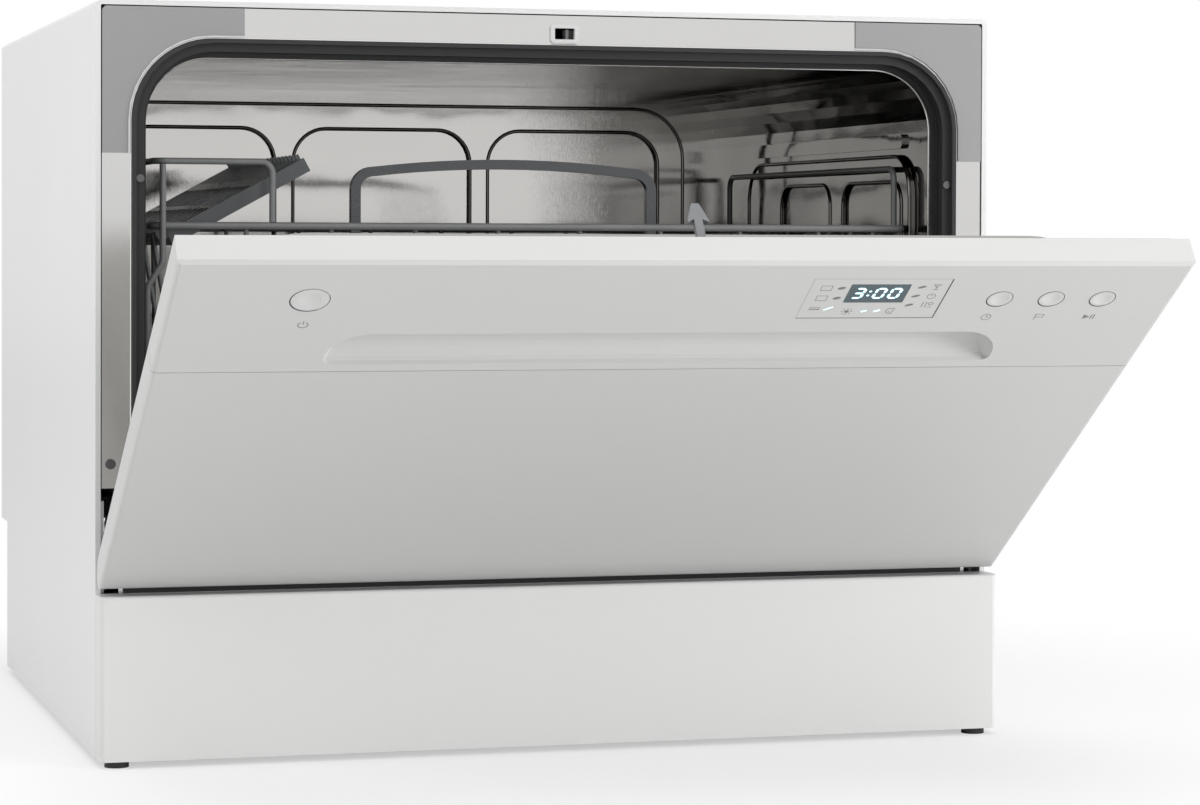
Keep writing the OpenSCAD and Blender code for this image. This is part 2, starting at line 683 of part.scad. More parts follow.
module drain_pump() {
  y0 = sump_c.y + sump_r + 6;
  color("darkslategray") at_front() {
    rod_y(sump_c.x, pump_z, y0, y0 + 22, 26);
    rod_y(sump_c.x, pump_z, y0 + 22, y0 + 58, 21);
    translate([sump_c.x - 36, y0 + 11, pump_z]) rotate([0, 90, 0]) cylinder(r = 9, h = 12);
    difference() {
      translate([sump_c.x - 14, y0 + 26, foot_h + 3]) cube([28, 26, pump_z - foot_h - 8]);
      rod_y(sump_c.x, pump_z, y0 + 20, y0 + 60, 21);
    }
  }
}
module drain_hose() {
  y0 = sump_c.y + sump_r + 17;
  // Round the salt container to the spigot
  x1 = salt_c.x + 70;
  y1 = salt_c.y + 78;
  p = [[sump_c.x - 36, y0, pump_z], [x1, y0, pump_z], [x1, y1, pump_z], [drain_x, y1, pump_z],
    [drain_x, recess_y - base_wall - 3, pump_z]];
  color("black") at_front() difference() {
    union() {
      wire(p, 9, 24);
      // Clips at both ends
      rod_x(y0, pump_z, sump_c.x - 50, sump_c.x - 44, 10.5);
      rod_y(drain_x, pump_z, recess_y - base_wall - 15, recess_y - base_wall - 9, 10.5);
    }
    rod_x(y0, pump_z, sump_c.x - 60, sump_c.x - 30, 7);
    rod_y(drain_x, pump_z, recess_y - base_wall - 24, recess_y, 7);
  }
}
module inlet_valve() {
  r = inlet_d / 2;
  y0 = recess_y - base_wall;
  color("white") at_front() difference() {
    union() {
      translate([inlet_x - 20, y0 - 46, service_z - 20]) cube([40, 46, 40]);
      rod_y(inlet_x, service_z, y0 - 1, recess_y + 14, r - 1.2);
      for (k = [0 : 4]) rod_y(inlet_x, service_z, recess_y + 3 + 2.2 * k, recess_y + 4.4 + 2.2 * k, r);
      rod_y(inlet_x, service_z, recess_y, recess_y + 2, r + 4);
      translate([inlet_x, y0 - 23, service_z + 20]) cylinder(r = 14, h = 20);
    }
    rod_y(inlet_x, service_z, y0 - 20, recess_y + 15, 8);
  }
}
module drain_spigot() {
  r = drain_d / 2;
  color("dimgray") at_front() difference() {
    union() {
      rod_y(drain_x, pump_z, recess_y - base_wall - 3, recess_y + 26, r);
      rod_y(drain_x, pump_z, recess_y, recess_y + 2, r + 5);
      for (y = [10, 17]) rod_y(drain_x, pump_z, recess_y + y, recess_y + y + 2, r + 1);
    }
    rod_y(drain_x, pump_z, recess_y - base_wall - 4, recess_y + 27, r - 2.5);
  }
}
module cable_gland() {
  color("black") at_front() difference() {
    union() {
      rod_y(gland_x, service_z, recess_y - base_wall - 4, recess_y + 1, gland_d / 2 + 3.6);
      rod_y(gland_x, service_z, recess_y, recess_y + 7, gland_d / 2 + 6);
      rod_y(gland_x, service_z, recess_y - base_wall - 4, recess_y - base_wall, gland_d / 2 + 6);
    }
    rod_y(gland_x, service_z, recess_y - base_wall - 5, recess_y + 8, gland_d / 2);
  }
}
module salt_container() {
  top = floor_z - tub_t;
  color("ivory") at_front() translate([salt_c.x, salt_c.y, 0]) difference() {
    union() {
      translate([0, 0, foot_h + 3]) cylinder(r = 48, h = top - foot_h - 9);
      translate([0, 0, top - 8]) cylinder(r = salt_r + 12, h = 8);
      translate([0, 0, top - 1]) cylinder(r = salt_r, h = 3);
    }
    translate([0, 0, foot_h + 6]) cylinder(r = 45, h = top - foot_h - 18);
    translate([0, 0, foot_h + 6]) cylinder(r = salt_r - 3, h = body_h);
  }
}
module salt_cap() {
  z0 = floor_z + 2 - tub_t + seat_fit;
  color("white") at_front() translate([salt_c.x, salt_c.y, z0]) difference() {
    union() {
      cylinder(r = salt_r + 3, h = 3);
      translate([-salt_r + 2, -2, 3]) cube([2 * salt_r - 4, 4, 3]);
      for (a = [0 : 20 : 340]) rotate(a) translate([salt_r + 3, 0, 0]) cylinder(r = 1, h = 3);
      translate([0, 0, -9]) cylinder(r = salt_r - 3 - key_fit, h = 10);
    }
    translate([0, 0, -10]) cylinder(r = salt_r - 6, h = 11);
  }
}
module air_break() {
  x1 = -(tub_w / 2 + tub_t + seat_fit);
  x0 = x1 - 20;
  color("ivory") at_front() difference() {
    along_x(x0, x1) pad(180, 400, rail_z + 10, rail_z + 190, 12);
    for (k = [0 : 3]) along_x(x0 - 1, x0 + 8) pad(192 + 52 * k, 236 + 52 * k, rail_z + 24, rail_z + 150, 8);
  }
}

// Hinges
module hinge_brackets() {
  color("darkgray") at_front() both_sides() difference() {
    union() {
      translate([bracket_x - plate_t, hinge_in, hinge_z]) rotate([0, 90, 0]) cylinder(r = ear_r, h = plate_t);
      along_x(bracket_x - plate_t, bracket_x) polygon([
        [hinge_in, hinge_z + ear_r * 0.8], [hinge_in, hinge_z - ear_r * 0.8], [tray_y0 + 8, hinge_z - 8],
        [tray_y0 + 8, plinth_top - 30], [110, plinth_top - 30], [110, hinge_z + 16],
        [70, hinge_z + 42], [tray_y0 + 8, hinge_z + 42], [tray_y0 + 8, hinge_z + ear_r * 0.8]]);
    }
    rod_x(hinge_in, hinge_z, bracket_x - 10, bracket_x + 10, pin_d / 2);
    for (y = [50, 90]) rod_x(y, hinge_z, bracket_x - 10, bracket_x + 10, 3);
    rod_x(60, plinth_top - 18, bracket_x - 10, bracket_x + 10, 2.2);
  }
}
module hinge_pins() {
  color("silver") at_front() both_sides() {
    rod_x(hinge_in, hinge_z, arm_x - plate_t - 1.5, bracket_x, pin_d / 2);
    rod_x(hinge_in, hinge_z, arm_x - plate_t - 2.5, arm_x - plate_t - 0.4, pin_d / 2 + 0.8);
  }
}
module hinge_arms() {
  v = hinge_z;
  color("darkgray") on_door() both_sides() difference() {
    along_x(arm_x - plate_t, arm_x) polygon([
      [skin_t + 0.8, v - 2.5], [hinge_in - 2.5, v - 4], [hinge_in + 6, v - 5], [hinge_in + tail.x - 4, v + tail.y - 6],
      [hinge_in + tail.x + 6, v + tail.y - 4], [hinge_in + tail.x + 6, v + tail.y + 6],
      [hinge_in + 14, v + 6], [door_t - 1.5, v + 14], [door_t - 1.5, v + 150], [skin_t + 4, v + 150],
      [skin_t + 0.8, v + 140]]);
    rod_x(hinge_in, hinge_z, 0, body_w, pin_d / 2 + pin_fit);
    rod_x(hinge_in + tail.x, hinge_z + tail.y, 0, body_w, 1.8);
    for (k = [0 : 2]) rod_x(door_t / 2, hinge_z + 40 + 45 * k, 0, body_w, 2.2);
  }
}
// Ends of a spring: the open door's lever tail and the anchor post
tail_y = hinge_in + tail.x * cos(door_open) - tail.y * sin(door_open);
tail_z = hinge_z + tail.x * sin(door_open) + tail.y * cos(door_open);
// Six-sided wire of radius rw through points p, with side vectors q
function ring(p, q, i, rw) = let (t = unit(p[min(i + 1, len(p) - 1)] - p[max(i - 1, 0)]), n = unit(cross(t, q[i])))
  [for (k = [0 : 5]) p[i] + rw * (cos(60 * k) * cross(n, t) + sin(60 * k) * n)];
module swept(p, q, rw) {
  n = len(p) - 1;
  rings = [for (i = [0 : n]) ring(p, q, i, rw)];
  faces = concat([[for (k = [0 : 5]) k]], [[for (k = [5 : -1 : 0]) n * 6 + k]],
    [for (i = [0 : n - 1], k = [0 : 5]) let (a = 6 * i + k, b = 6 * i + (k + 1) % 6) [a, a + 6, b]],
    [for (i = [0 : n - 1], k = [0 : 5]) let (a = 6 * i + k, b = 6 * i + (k + 1) % 6) [b, a + 6, b + 6]]);
  polyhedron(points = [for (g = rings) for (v = g) v], faces = faces);
}
// Coil between two holes: a hook at each end reaches sideways by dx
module coil(a, b, dx, r, rw, turns) {
  e = unit(b - a);
  l = norm(b - a);
  u = unit(cross(e, [1, 0, 0]));
  w = cross(e, u);
  s0 = l * 0.18;
  s1 = l * 0.82;
  n = turns * 8;
  turned = [for (i = [0 : n]) cos(45 * i) * u + sin(45 * i) * w];
  swept(concat([a + [dx, 0, 0], a + [1, 0, 0], a + 1.5 * e, a + (s0 - 5) * e],
      [for (i = [0 : n]) a + e * (s0 + (s1 - s0) * i / n) + turned[i] * r * min(1, i / 6, (n - i) / 6)],
      [a + (s1 + 5) * e, b - 1.5 * e, b + [1, 0, 0], b + [dx, 0, 0]]),
    concat([u, u, u, u], turned, [u, u, u, u]), rw);
}
spring_gap = norm([spring_end.x - tail_y, spring_end.y - tail_z]) * 0.64 / spring_turns - spring_wire;
echo(least_gap_between_spring_turns = spring_gap);
module door_springs() {
  color("silver") at_front() both_sides()
    coil([spring_x, tail_y, tail_z], [spring_x, spring_end.x, spring_end.y], plate_t + 4, spring_d / 2 - spring_wire / 2,
      spring_wire / 2, spring_turns);
}
module cabinet_screws() {
  color("silver") at_front() {
    for (s = [-1, 1], z = [recess_h + 21, body_h - sheet_t - 21]) {
      rod_y(s * (body_w / 2 - sheet_t - 5.5), z, body_d - rear_set, body_d - 0.2, 3);
      rod_y(s * (body_w / 2 - sheet_t - 5.5), z, body_d - 8, body_d - rear_set + 0.1, 1.6);
    }
    for (s = [-1, 1]) {
      rod_y(s * (frame_half - 5), hinge_z + 64, frame_y - 1.3, frame_y, 3);
      rod_y(s * (frame_half - 5), hinge_z + 64, frame_y - 0.1, frame_y + 8, 1.6);
      rod_y(s * (mouth_w / 2 - 5.6), arch_z - 11, frame_y - 0.3, frame_y + 1, 2.3);
      rod_y(s * (mouth_w / 2 - 5.6), arch_z - 11, frame_y + 0.9, frame_y + 12, 1.2);
    }
  }
}

// Door
// Side outline of the shell, Y and Z, with a round front edge and a bevelled rear edge below
module door_side_outline(i, v0, v1) {
  z0 = door_z0;
  d = i > 0 ? door_t + 1 : door_t;
  low = v0 > 0 ? [[d, z0 + v0], [i, z0 + v0]] :
    concat([[d, z0 + 8 + 1.4 * i + (i > 0 ? 1 : 0)], [9 - 0.4 * i, z0 + i]],
      [for (p = quarter(5, z0 + 5, 5 - i, 180)) p]);
  polygon(concat([[i, z0 + v1], [d, z0 + v1]], v0 > 0 ? low : [low[0], low[1]],
    v0 > 0 ? [] : [for (k = [8 : -1 : 0]) low[k + 2]]));
}
module door_plan_outline(i) {
  h = body_w / 2;
  r = 2.5;
  polygon(concat([[h - i, door_t + 4], [-h + i, door_t + 4]],
    quarter(-h + r, r, r - i * 0.6, 180), quarter(h - r, r, r - i * 0.6, 270)));
}
module door_block(i, v0, v1) {
  intersection() {
    along_x(-body_w / 2 + i, body_w / 2 - i) door_side_outline(i, v0, v1);
    translate([0, 0, door_z0 - 1]) linear_extrude(door_h + 2) door_plan_outline(i);
  }
}
module hinge_slots() {
  both_sides() translate([slot_x0, skin_t, door_z0 - 1]) cube([slot_x1 - slot_x0, door_t + 5, 24]);
}
module door_outer_panel() {
  color("silver") on_door() difference() {
    door_block(0, 0, seam_v);
    intersection() {
      door_block(skin_t, 0, seam_v + 1);
      translate([-body_w, -1, door_z0]) cube([2 * body_w, 40, seam_v + 1]);
    }
    both_sides() translate([slot_x0, skin_t, door_z0 - 1]) cube([slot_x1 - slot_x0, door_t + 5, 14]);
  }
}
// Handle recess: a tapered opening, hollowed like a scoop
module grip_outline(i) {
  z = door_z0 + grip_v;
  slab(grip_w - 2 * i, z + i, z + grip_h - i, 23 - i, 5 - min(i, 3));
}
module grip_profile(i) {
  z = door_z0 + grip_v;
  polygon(concat([[-1, z + i], [0, z + i]],
    [for (k = [0 : 8]) let (a = 11.25 * k)
      [(grip_depth - i) * sin(a), z + i + (grip_h * 0.62 - i) * (1 - cos(a))]],
    [[grip_depth - i, z + grip_h - i], [-1, z + grip_h - i]]));
}
// Plan of the recess: its end walls lean inwards
module grip_plan(i) {
  h = grip_w / 2 - i;
  translate([0, 0, door_z0 + grip_v + i - 1]) linear_extrude(grip_h - 2 * i + 2)
    polygon([[-h, -1], [h, -1], [h, 0], [h - grip_slope, grip_depth - i + 0.1], [-h + grip_slope, grip_depth - i + 0.1], [-h, 0]]);
}
module grip_scoop(i) {
  intersection() {
    along_y(-1, door_t) grip_outline(i);
    along_x(-grip_w / 2 + i, grip_w / 2 - i) grip_profile(i);
    grip_plan(i);
  }
}
module control_panel() {
  v0 = seam_v + 0.6;
  z0 = door_z0 + v0;
  color("silver") on_door() difference() {
    union() {
      difference() {
        door_block(0, v0, door_h);
        intersection() {
          door_block(fascia_t, v0, door_h + 1);
          translate([-body_w, -1, z0 - 1]) cube([2 * body_w, 40, door_h - v0 - fascia_t + 1]);
        }
      }
      intersection() {
        grip_scoop(-1.6);
        translate([-body_w, 0.5, z0]) cube([2 * body_w, 30, door_h]);
      }
      // Posts that carry the board
      for (x = [power_x - 10, -120, -40, 54, 148, 250])
        rod_y(x, door_z0 + key_v + (x < -130 || x > 50 ? 13 : 0), fascia_t - 0.4, board_y, 2.2);
    }
    grip_scoop(0);
    // Bevel along the upper front edge
    translate([0, 0, door_z0 + door_h]) rotate([45, 0, 0]) translate([-body_w, -1.4, -1.4]) cube([2 * body_w, 2.8, 2.8]);
    rod_y(power_x, door_z0 + key_v, -1, fascia_t + 1, power_d / 2 + key_fit);
    for (k = [0 : 2]) rod_y(key_x + k * key_pitch, door_z0 + key_v, -1, fascia_t + 1, key_d / 2 + key_fit);
    along_y(-1, 0.8) window_outline(0);
    along_y(-1, fascia_t + 1) lcd_outline(3);
  }
}
module window_outline(i) {
  z = door_z0 + window_v;
  pad(window_x - window_w / 2 + i, window_x + window_w / 2 - i, z - window_h / 2 + i, z + window_h / 2 - i, 1);
}
module lcd_outline(o) {
  z = door_z0 + lcd_v;
  pad(window_x - lcd_w / 2 - o, window_x + lcd_w / 2 + o, z - lcd_h / 2 - o, z + lcd_h / 2 + o, 0.6);
}
module display_window() {
  color("lightgray") on_door() along_y(0, 0.8) difference() {
    window_outline(0.1);
    lcd_outline(0.1);
  }
}
module display_lcd() {
  color("darkslateblue") on_door() {
    along_y(0.2, 0.9) lcd_outline(0);
    along_y(0.85, fascia_t + 2) lcd_outline(2.8);
  }
}
module control_board() {
  z = door_z0 + key_v;
  y1 = board_y + 1.6;
  color("darkgreen") on_door() {
    along_y(board_y, y1) pad(48, 258, door_z0 + grip_v + grip_h + 4, door_z0 + door_h - 6, 2);
    along_y(fascia_t + 2, board_y) lcd_outline(2);
    for (k = [0 : 2]) along_y(board_y - 2, board_y) pad(key_x + k * key_pitch - 3, key_x + k * key_pitch + 3, z - 3, z + 3, 0.5);
    // Narrow strip out to the power button
    along_y(board_y, y1) pad(power_x - 16, power_x + 16, z - 16, z + 16, 2);
    along_y(board_y, y1) pad(power_x, 60, z - 5, z + 5, 1);
    along_y(board_y - 2, board_y) pad(power_x - 3, power_x + 3, z - 3, z + 3, 0.5);
  }
}
module round_button(x, d) {
  z = door_z0 + key_v;
  color("lightgray") on_door() difference() {
    union() {
      rod_y(x, z, 0.2, fascia_t + 2, d / 2);
      rod_y(x, z, fascia_t + 1, board_y - 2 - key_travel - 0.2, 2.4);
    }
    // Finger dish
    translate([x, 0.2 - d * 1.6 + 0.6, z]) sphere(r = d * 1.6);
  }
}
module power_button() { round_button(power_x, power_d); }
module timer_button() { round_button(key_x, key_d); }
module program_button() { round_button(key_x + key_pitch, key_d); }
module start_button() { round_button(key_x + 2 * key_pitch, key_d); }

// Inner side of the door
module plateau_solid(i) {
  w = plateau_w - 2 * i;
  z0 = door_z0 + plateau_v0 + i;
  z1 = door_z0 + plateau_v1 - i;
  hull() {
    along_y(liner_y - 0.8 - (i > 0 ? 1 : 0), liner_y) slab(w, z0, z1, plateau_r, 16);
    along_y(plateau_y - 6, plateau_y - 5 - i) slab(w - 4, z0 + 2, z1, plateau_r, 16);
    along_y(plateau_y - 1 - i, plateau_y - i) slab(w - 12, z0 + 6, z1 - 1.8, plateau_r - 3, 14);
  }
}
disp_x = 30;
disp_w = 150;
disp_v = 118;
disp_h = 104;
module door_inner_liner() {
  t = 0.8;
  color("silver") on_door() difference() {
    union() {
      along_y(liner_y - t, liner_y) slab(body_w - 4, door_z0 + 9, door_z0 + door_h - 1, 10, 4);
      plateau_solid(0);
    }
    plateau_solid(t);
    along_y(door_t - 1, body_d) pad(disp_x - disp_w / 2, disp_x + disp_w / 2, door_z0 + disp_v, door_z0 + disp_v + disp_h, 10);
    along_y(door_t - 1, liner_y + 1) pad(latch_x - 4.6, latch_x + 4.6, latch_z - 3.6, latch_z + 1.8, 0.8);
    hinge_slots();
  }
}
// Arrow-shaped hook and its block inside the door
module latch_hook() {
  y = lock_y;
  color("gray") on_door() {
    along_y(fascia_t + 3, door_t) pad(latch_x - 12, latch_x + 12, latch_z - 8, latch_z + 7, 2);
    translate([latch_x, 0, latch_z - 2.4]) linear_extrude(3) polygon([[-4, door_t - 1], [4, door_t - 1], [2.3, door_t + 6],
      [2.3, y + 2], [5.6, y + 0.2], [5.8, y + 1.6], [2, y + 12], [-2, y + 12], [-5.8, y + 1.6], [-5.6, y + 0.2],
      [-2.3, y + 2], [-2.3, door_t + 6]]);
  }
}
module dispenser_body() {
  z0 = door_z0 + disp_v;
  y1 = plateau_y + 2.5;
  color("gray") on_door() difference() {
    union() {
      along_y(plateau_y - 20, plateau_y) pad(disp_x - disp_w / 2 + 0.3, disp_x + disp_w / 2 - 0.3, z0 + 0.3, z0 + disp_h - 0.3, 10);
      along_y(plateau_y, y1) pad(disp_x - disp_w / 2 - 6, disp_x + disp_w / 2 + 6, z0 - 6, z0 + disp_h + 6, 12);
    }
    // Detergent chamber, rinse-aid well and a shallow pre-wash dish
    along_y(plateau_y - 18, y1 + 1) pad(disp_x - 66, disp_x + 8, z0 + 20, z0 + disp_h - 14, 8);
    rod_y(disp_x + 45, z0 + disp_h - 36, plateau_y - 8, y1 + 1, 20);
    along_y(plateau_y - 4, y1 + 1) pad(disp_x + 24, disp_x + 66, z0 + 10, z0 + 36, 6);
    // Trough that the lid's knuckle turns in
    along_y(plateau_y - 7, y1 + 1) pad(disp_x - 66, disp_x + 8, z0 + 9, z0 + 24, 1);
  }
  color("gray") on_door() lid_ears();
}
// Ears of the lid's hinge
module lid_ears() {
  z0 = door_z0 + disp_v;
  for (x = [disp_x - 66, disp_x + 2]) difference() {
    along_x(x, x + 6) pad(plateau_y - 6, plateau_y + 1.5, z0 + 14, z0 + 19.9, 1);
    rod_x(plateau_y - 2, z0 + 17, x - 1, x + 7, 1.5);
  }
}
module detergent_lid() {
  z0 = door_z0 + disp_v;
  color("lightgray") on_door() {
    along_y(plateau_y + 2.8, plateau_y + 4.8) pad(disp_x - 68, disp_x + 10, z0 + 22, z0 + disp_h - 12, 9);
    along_x(disp_x - 58, disp_x) polygon([[plateau_y - 4.5, z0 + 16.5], [plateau_y - 3.5, z0 + 14.6],
      [plateau_y - 1, z0 + 14], [plateau_y + 4.8, z0 + 16], [plateau_y + 4.8, z0 + 24],
      [plateau_y + 2.8, z0 + 24], [plateau_y + 2.6, z0 + 19.6], [plateau_y - 3, z0 + 19.6]]);
    rod_x(plateau_y - 2, z0 + 17, disp_x - 65, disp_x + 7, 1.44);
  }
}
module rinse_cap() {
  z = door_z0 + disp_v + disp_h - 36;
  color("white") on_door() difference() {
    union() {
      rod_y(disp_x + 45, z, plateau_y - 7.7, plateau_y + 4, 20 - key_fit);
      rod_y(disp_x + 45, z, plateau_y + 4, plateau_y + 5.5, 17);
    }
    for (s = [-1, 1]) translate([disp_x + 45 + s * 9 - 5, plateau_y, z - 14]) cube([10, 8, 28]);
  }
}
module door_screws() {
  color("silver") on_door() for (s = [-1, 1], v = [60, 150, 250, 320])
    rod_y(s * (body_w / 2 - 8), door_z0 + v, liner_y, liner_y + 1.4, 3);
}

// Rack
// Half width and front place of a basket wire at height z
function lean(z) = slope_in * (rim_z - z) / (rim_z - rack_z);
module rack_frame() {
  yf = rim_front;
  off = (fr - 0.5 + br + weld_fit) * 1.02;
  mw = rim_w / 2 - rim_in - lean(mid_z) + off;
  my0 = yf + rim_in + lean(mid_z) * 0.55 - off;
  my1 = rim_rear - rim_in - lean(mid_z) * 0.55 + off;
  zr = rim_z + fr + weld_fit;
  h = rim_w / 2;
  yp = yf - fr - arch_r - weld_fit;
  color("lightslategray") at_front() {
    loop(rim_w, yf, rim_rear, rim_z, fr, 5);
    loop(2 * mw, my0, my1, mid_z, fr - 0.5, 26);
    // Galleries: along the right side, and along the left side and round to the front
    wire([[h, yf + 16, zr], [h, yf + 16, arch_z], [h, rim_rear - 24, arch_z], [h, rim_rear - 24, zr]], arch_r, 8);
    wire([[-h + 70, yf, zr], [-h + 70, yf, arch_z], [-h, yf, arch_z], [-h, rim_rear - 24, arch_z],
      [-h, rim_rear - 24, zr]], arch_r, 7);
    // Front left post, cranked outwards below the rim
    wire([[-h + 4, yp, arch_z - 2], [-h + 4, yp, rim_z - 22], [-h - 5, yp, rim_z - 36], [-h - 5, yp, mid_z - 30]], arch_r, 8);
    // Runners under the floor of the rack
    both_sides() rod_y(runner_x, rack_z - br - fr - weld_fit, yf + 22, rim_rear - 22, fr);
  }
}
module rack_wires() {
  h = rim_w / 2 - rim_in;
  color("lightslategray") at_front() {
    for (k = [0 : cross_count - 1]) {
      y = rim_front + 40 + k * cross_pitch;
      wire([[-h, y, rim_z + 1], [-h + slope_in, y, rack_z], [h - slope_in, y, rack_z], [h, y, rim_z + 1]], br, 12);
    }
    for (k = [0 : long_count - 1]) {
      x = -rim_w / 2 + 55 + k * long_pitch;
      z = rack_z + 2 * br + weld_fit;
      wire([[x, rim_front + rim_in, rim_z + 1], [x, rim_front + rim_in + slope_in * 0.55, z],
        [x, rim_rear - rim_in - slope_in * 0.55, z], [x, rim_rear - rim_in, rim_z + 1]], br, 12);
    }
  }
}
tine_y = [214, 300];
module rack_tines() {
  z = rack_z + 3 * br + 2 * weld_fit + 2 * br;
  color("lightslategray") at_front() for (y = tine_y) {
    // Carrier wire of a row, with its pins bent up in pairs
    rod_x(y, z - br, -rim_w / 2 + 60, rim_w / 2 - 60, br);
    for (k = [0 : tine_count - 1]) {
      x = -rim_w / 2 + 72 + k * (rim_w - 144 - 26) / (tine_count - 1);
      wire([[x, y - 2 * br - weld_fit, z - br], [x, y - 2 * br - weld_fit, z + 66],
        [x + 26, y - 2 * br - weld_fit, z + 66], [x + 26, y - 2 * br - weld_fit, z - br]], br, 9);
    }
  }
}
module wheel_brackets() {
  x1 = wheel_x - wheel_w / 2 - 0.5;
  zt = rack_z - br - 2 * fr - 2 * weld_fit;
  color("gray") at_front() both_sides() for (y = axle_y) {
    translate([runner_x - 6, y - 11, axle_z - 5]) cube([x1 - runner_x + 6, 22, zt - axle_z + 5]);
    rod_x(y, axle_z, x1 - 1, wheel_x + wheel_w / 2, axle_r);
    rod_x(y, axle_z, wheel_x + wheel_w / 2 + 0.3, wheel_x + wheel_w / 2 + 1.6, axle_r + 1.4);
    rod_x(y, axle_z, wheel_x + wheel_w / 2 - 0.1, wheel_x + wheel_w / 2 + 0.4, axle_r);
  }
}
module wheel(s, y) {
  color("whitesmoke") at_front() scale([s, 1, 1]) difference() {
    rod_x(y, axle_z, wheel_x - wheel_w / 2, wheel_x + wheel_w / 2, wheel_r - 0.05);
    rod_x(y, axle_z, 0, body_w, axle_r + pin_fit);
    translate([wheel_x + wheel_w / 2 - 2, y, axle_z]) rotate([0, 90, 0]) difference() {
      cylinder(r = wheel_r - 2.5, h = 3);
      translate([0, 0, -1]) cylinder(r = axle_r + 2.2, h = 5);
      for (a = [0 : 60 : 300]) rotate(a) translate([0, -0.8, -1]) cube([wheel_r, 1.6, 5]);
    }
  }
}
module wheel_front_left() { wheel(-1, axle_y[0]); }
module wheel_front_right() { wheel(1, axle_y[0]); }
module wheel_rear_left() { wheel(-1, axle_y[1]); }
module wheel_rear_right() { wheel(1, axle_y[1]); }

// Cup shelf: a slotted tray with a comb along its free edge, hung below the left side of the rim
module cup_shelf() {
  t = 3;
  l = shelf_l;
  w = shelf_w;
  z1 = -shelf_drop;
  // Knuckles turn on the rim's side wire, between basket wires
  knuckles = [for (k = [-0.5, 4.5]) rim_front + 40 + k * cross_pitch - 5 - shelf_y0];
  row = (w - 12) / 12;
  comb = (w - 7) / 20;
  color("gray") at_front() translate([shelf_axis.x, shelf_y0, shelf_axis.y]) rotate([0, -shelf_tilt, 0]) {
    difference() {
      union() {
        translate([6, 0, z1 - t]) cube([l - 6, w, t]);
        for (y = [0, w - 3.5]) translate([6, y, z1 - shelf_rim]) cube([l - 6, 3.5, shelf_rim]);
        translate([6, 0, z1 - shelf_rim]) cube([3, w, shelf_rim]);
        for (y = knuckles) translate([0, y, z1 - t]) cube([9, 10, shelf_drop + t]);
      }
      for (k = [0 : 11], j = [0, 1]) translate([14 + 28 * j, 8 + k * row, z1 - t - 1]) cube([23, row - 4.5, t + 2]);
      for (k = [0 : 19]) translate([l - 26, 3.5 + k * comb, z1 - t - 1]) cube([27, comb - 5.5, t + 2]);
      for (y = knuckles) rod_pin(y);
    }
    // Turned-up tips of the comb
    for (k = [0 : 19]) translate([l - 2.5, 3.5 + (k + 1) * comb - 5.5, z1 - 0.1]) cube([2.5, 2.5, 3]);
    for (y = knuckles) difference() {
      translate([0, y, 0]) rotate([-90, 0, 0]) cylinder(r = fr + 2, h = 10);
      rod_pin(y);
    }
  }
}
module rod_pin(y) { translate([0, y - 1, 0]) rotate([-90, 0, 0]) cylinder(r = fr + pin_fit, h = 12); }

// Cutlery basket: slotted walls, divided inside, with a bow handle
module cutlery_basket() {
  w = cutlery_w;
  d = cutlery_d;
  h = cutlery_h;
  t = cutlery_wall;
  cw = (w - t) / cutlery_cols;
  cd = (d - t) / 2;
  color("slategray") at_front() translate([cutlery_x, cutlery_y, cutlery_z]) {
    difference() {
      linear_extrude(h) translate([0, d / 2]) offset(r = 5) square([w - 10, d - 10], center = true);
      for (i = [0 : cutlery_cols - 1], j = [0, 1])
        translate([-w / 2 + t + i * cw, t + j * cd, t]) cube([cw - t, cd - t, h]);
      // Slots through the long walls, two rows
      for (i = [0 : cutlery_cols - 1], k = [0 : 3], z = [12, 66])
        translate([-w / 2 + t + i * cw + 6 + k * (cw - 14) / 4, -1, z]) cube([(cw - 14) / 4 - 3, d + 2, 42]);
      // Slots through the short walls
      for (j = [0, 1], k = [0 : 1], z = [12, 66])
        translate([-w / 2 - 1, t + j * cd + 5 + k * (cd - 10) / 2, z]) cube([w + 2, (cd - 10) / 2 - 3, 42]);
    }
    // Bow handle, a little crowned
    along_y(d / 2 - 3, d / 2 + 3) difference() {
      bow_outline(w, h - 20, h + bow_up, 14);
      bow_outline(w - 12, h - 21, h + bow_up - 6, 8);
    }
  }
}
bow_up = 53;
bow_crown = 5;
module bow_outline(w, z0, z1, r) {
  c = w / 2 - r;
  polygon(concat([[w / 2, z0]], quarter(c, z1 - r, r, 0),
    [for (i = [1 : 11]) let (x = c * (1 - i / 6)) [x, z1 + bow_crown * (1 - x * x / (c * c))]],
    quarter(-c, z1 - r, r, 90), [[-w / 2, z0]]));
}

cabinet_wrap();
rear_panel();
base_tray();
plinth_panel();
feet();
front_frame();
corner_cover_left();
corner_cover_right();
door_gasket();
latch_bezel();
latch_lock();
latch_catch();
tub_wrap();
tub_back();
tub_floor();
sump_housing();
filter_cup();
filter_plate();
spray_riser();
spray_arm();
circulation_pump();
drain_pump();
drain_hose();
inlet_valve();
drain_spigot();
salt_container();
salt_cap();
cable_gland();
air_break();
hinge_brackets();
hinge_pins();
door_springs();
cabinet_screws();
door_outer_panel();
control_panel();
door_inner_liner();
display_window();
display_lcd();
control_board();
power_button();
timer_button();
program_button();
start_button();
latch_hook();
dispenser_body();
detergent_lid();
rinse_cap();
hinge_arms();
door_screws();
rack_frame();
rack_wires();
rack_tines();
wheel_brackets();
wheel_front_left();
wheel_front_right();
wheel_rear_left();
wheel_rear_right();
cup_shelf();
cutlery_basket();
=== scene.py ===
"""Looks of the countertop dishwasher: finishes for every solid, the printed marks and the small fittings.

Frame: metres, x to the right, y to the rear, z up from the worktop. Drawn sizes are in millimetres.
"""

import json
import math

import bpy
import numpy as np
from mathutils import Matrix, Vector


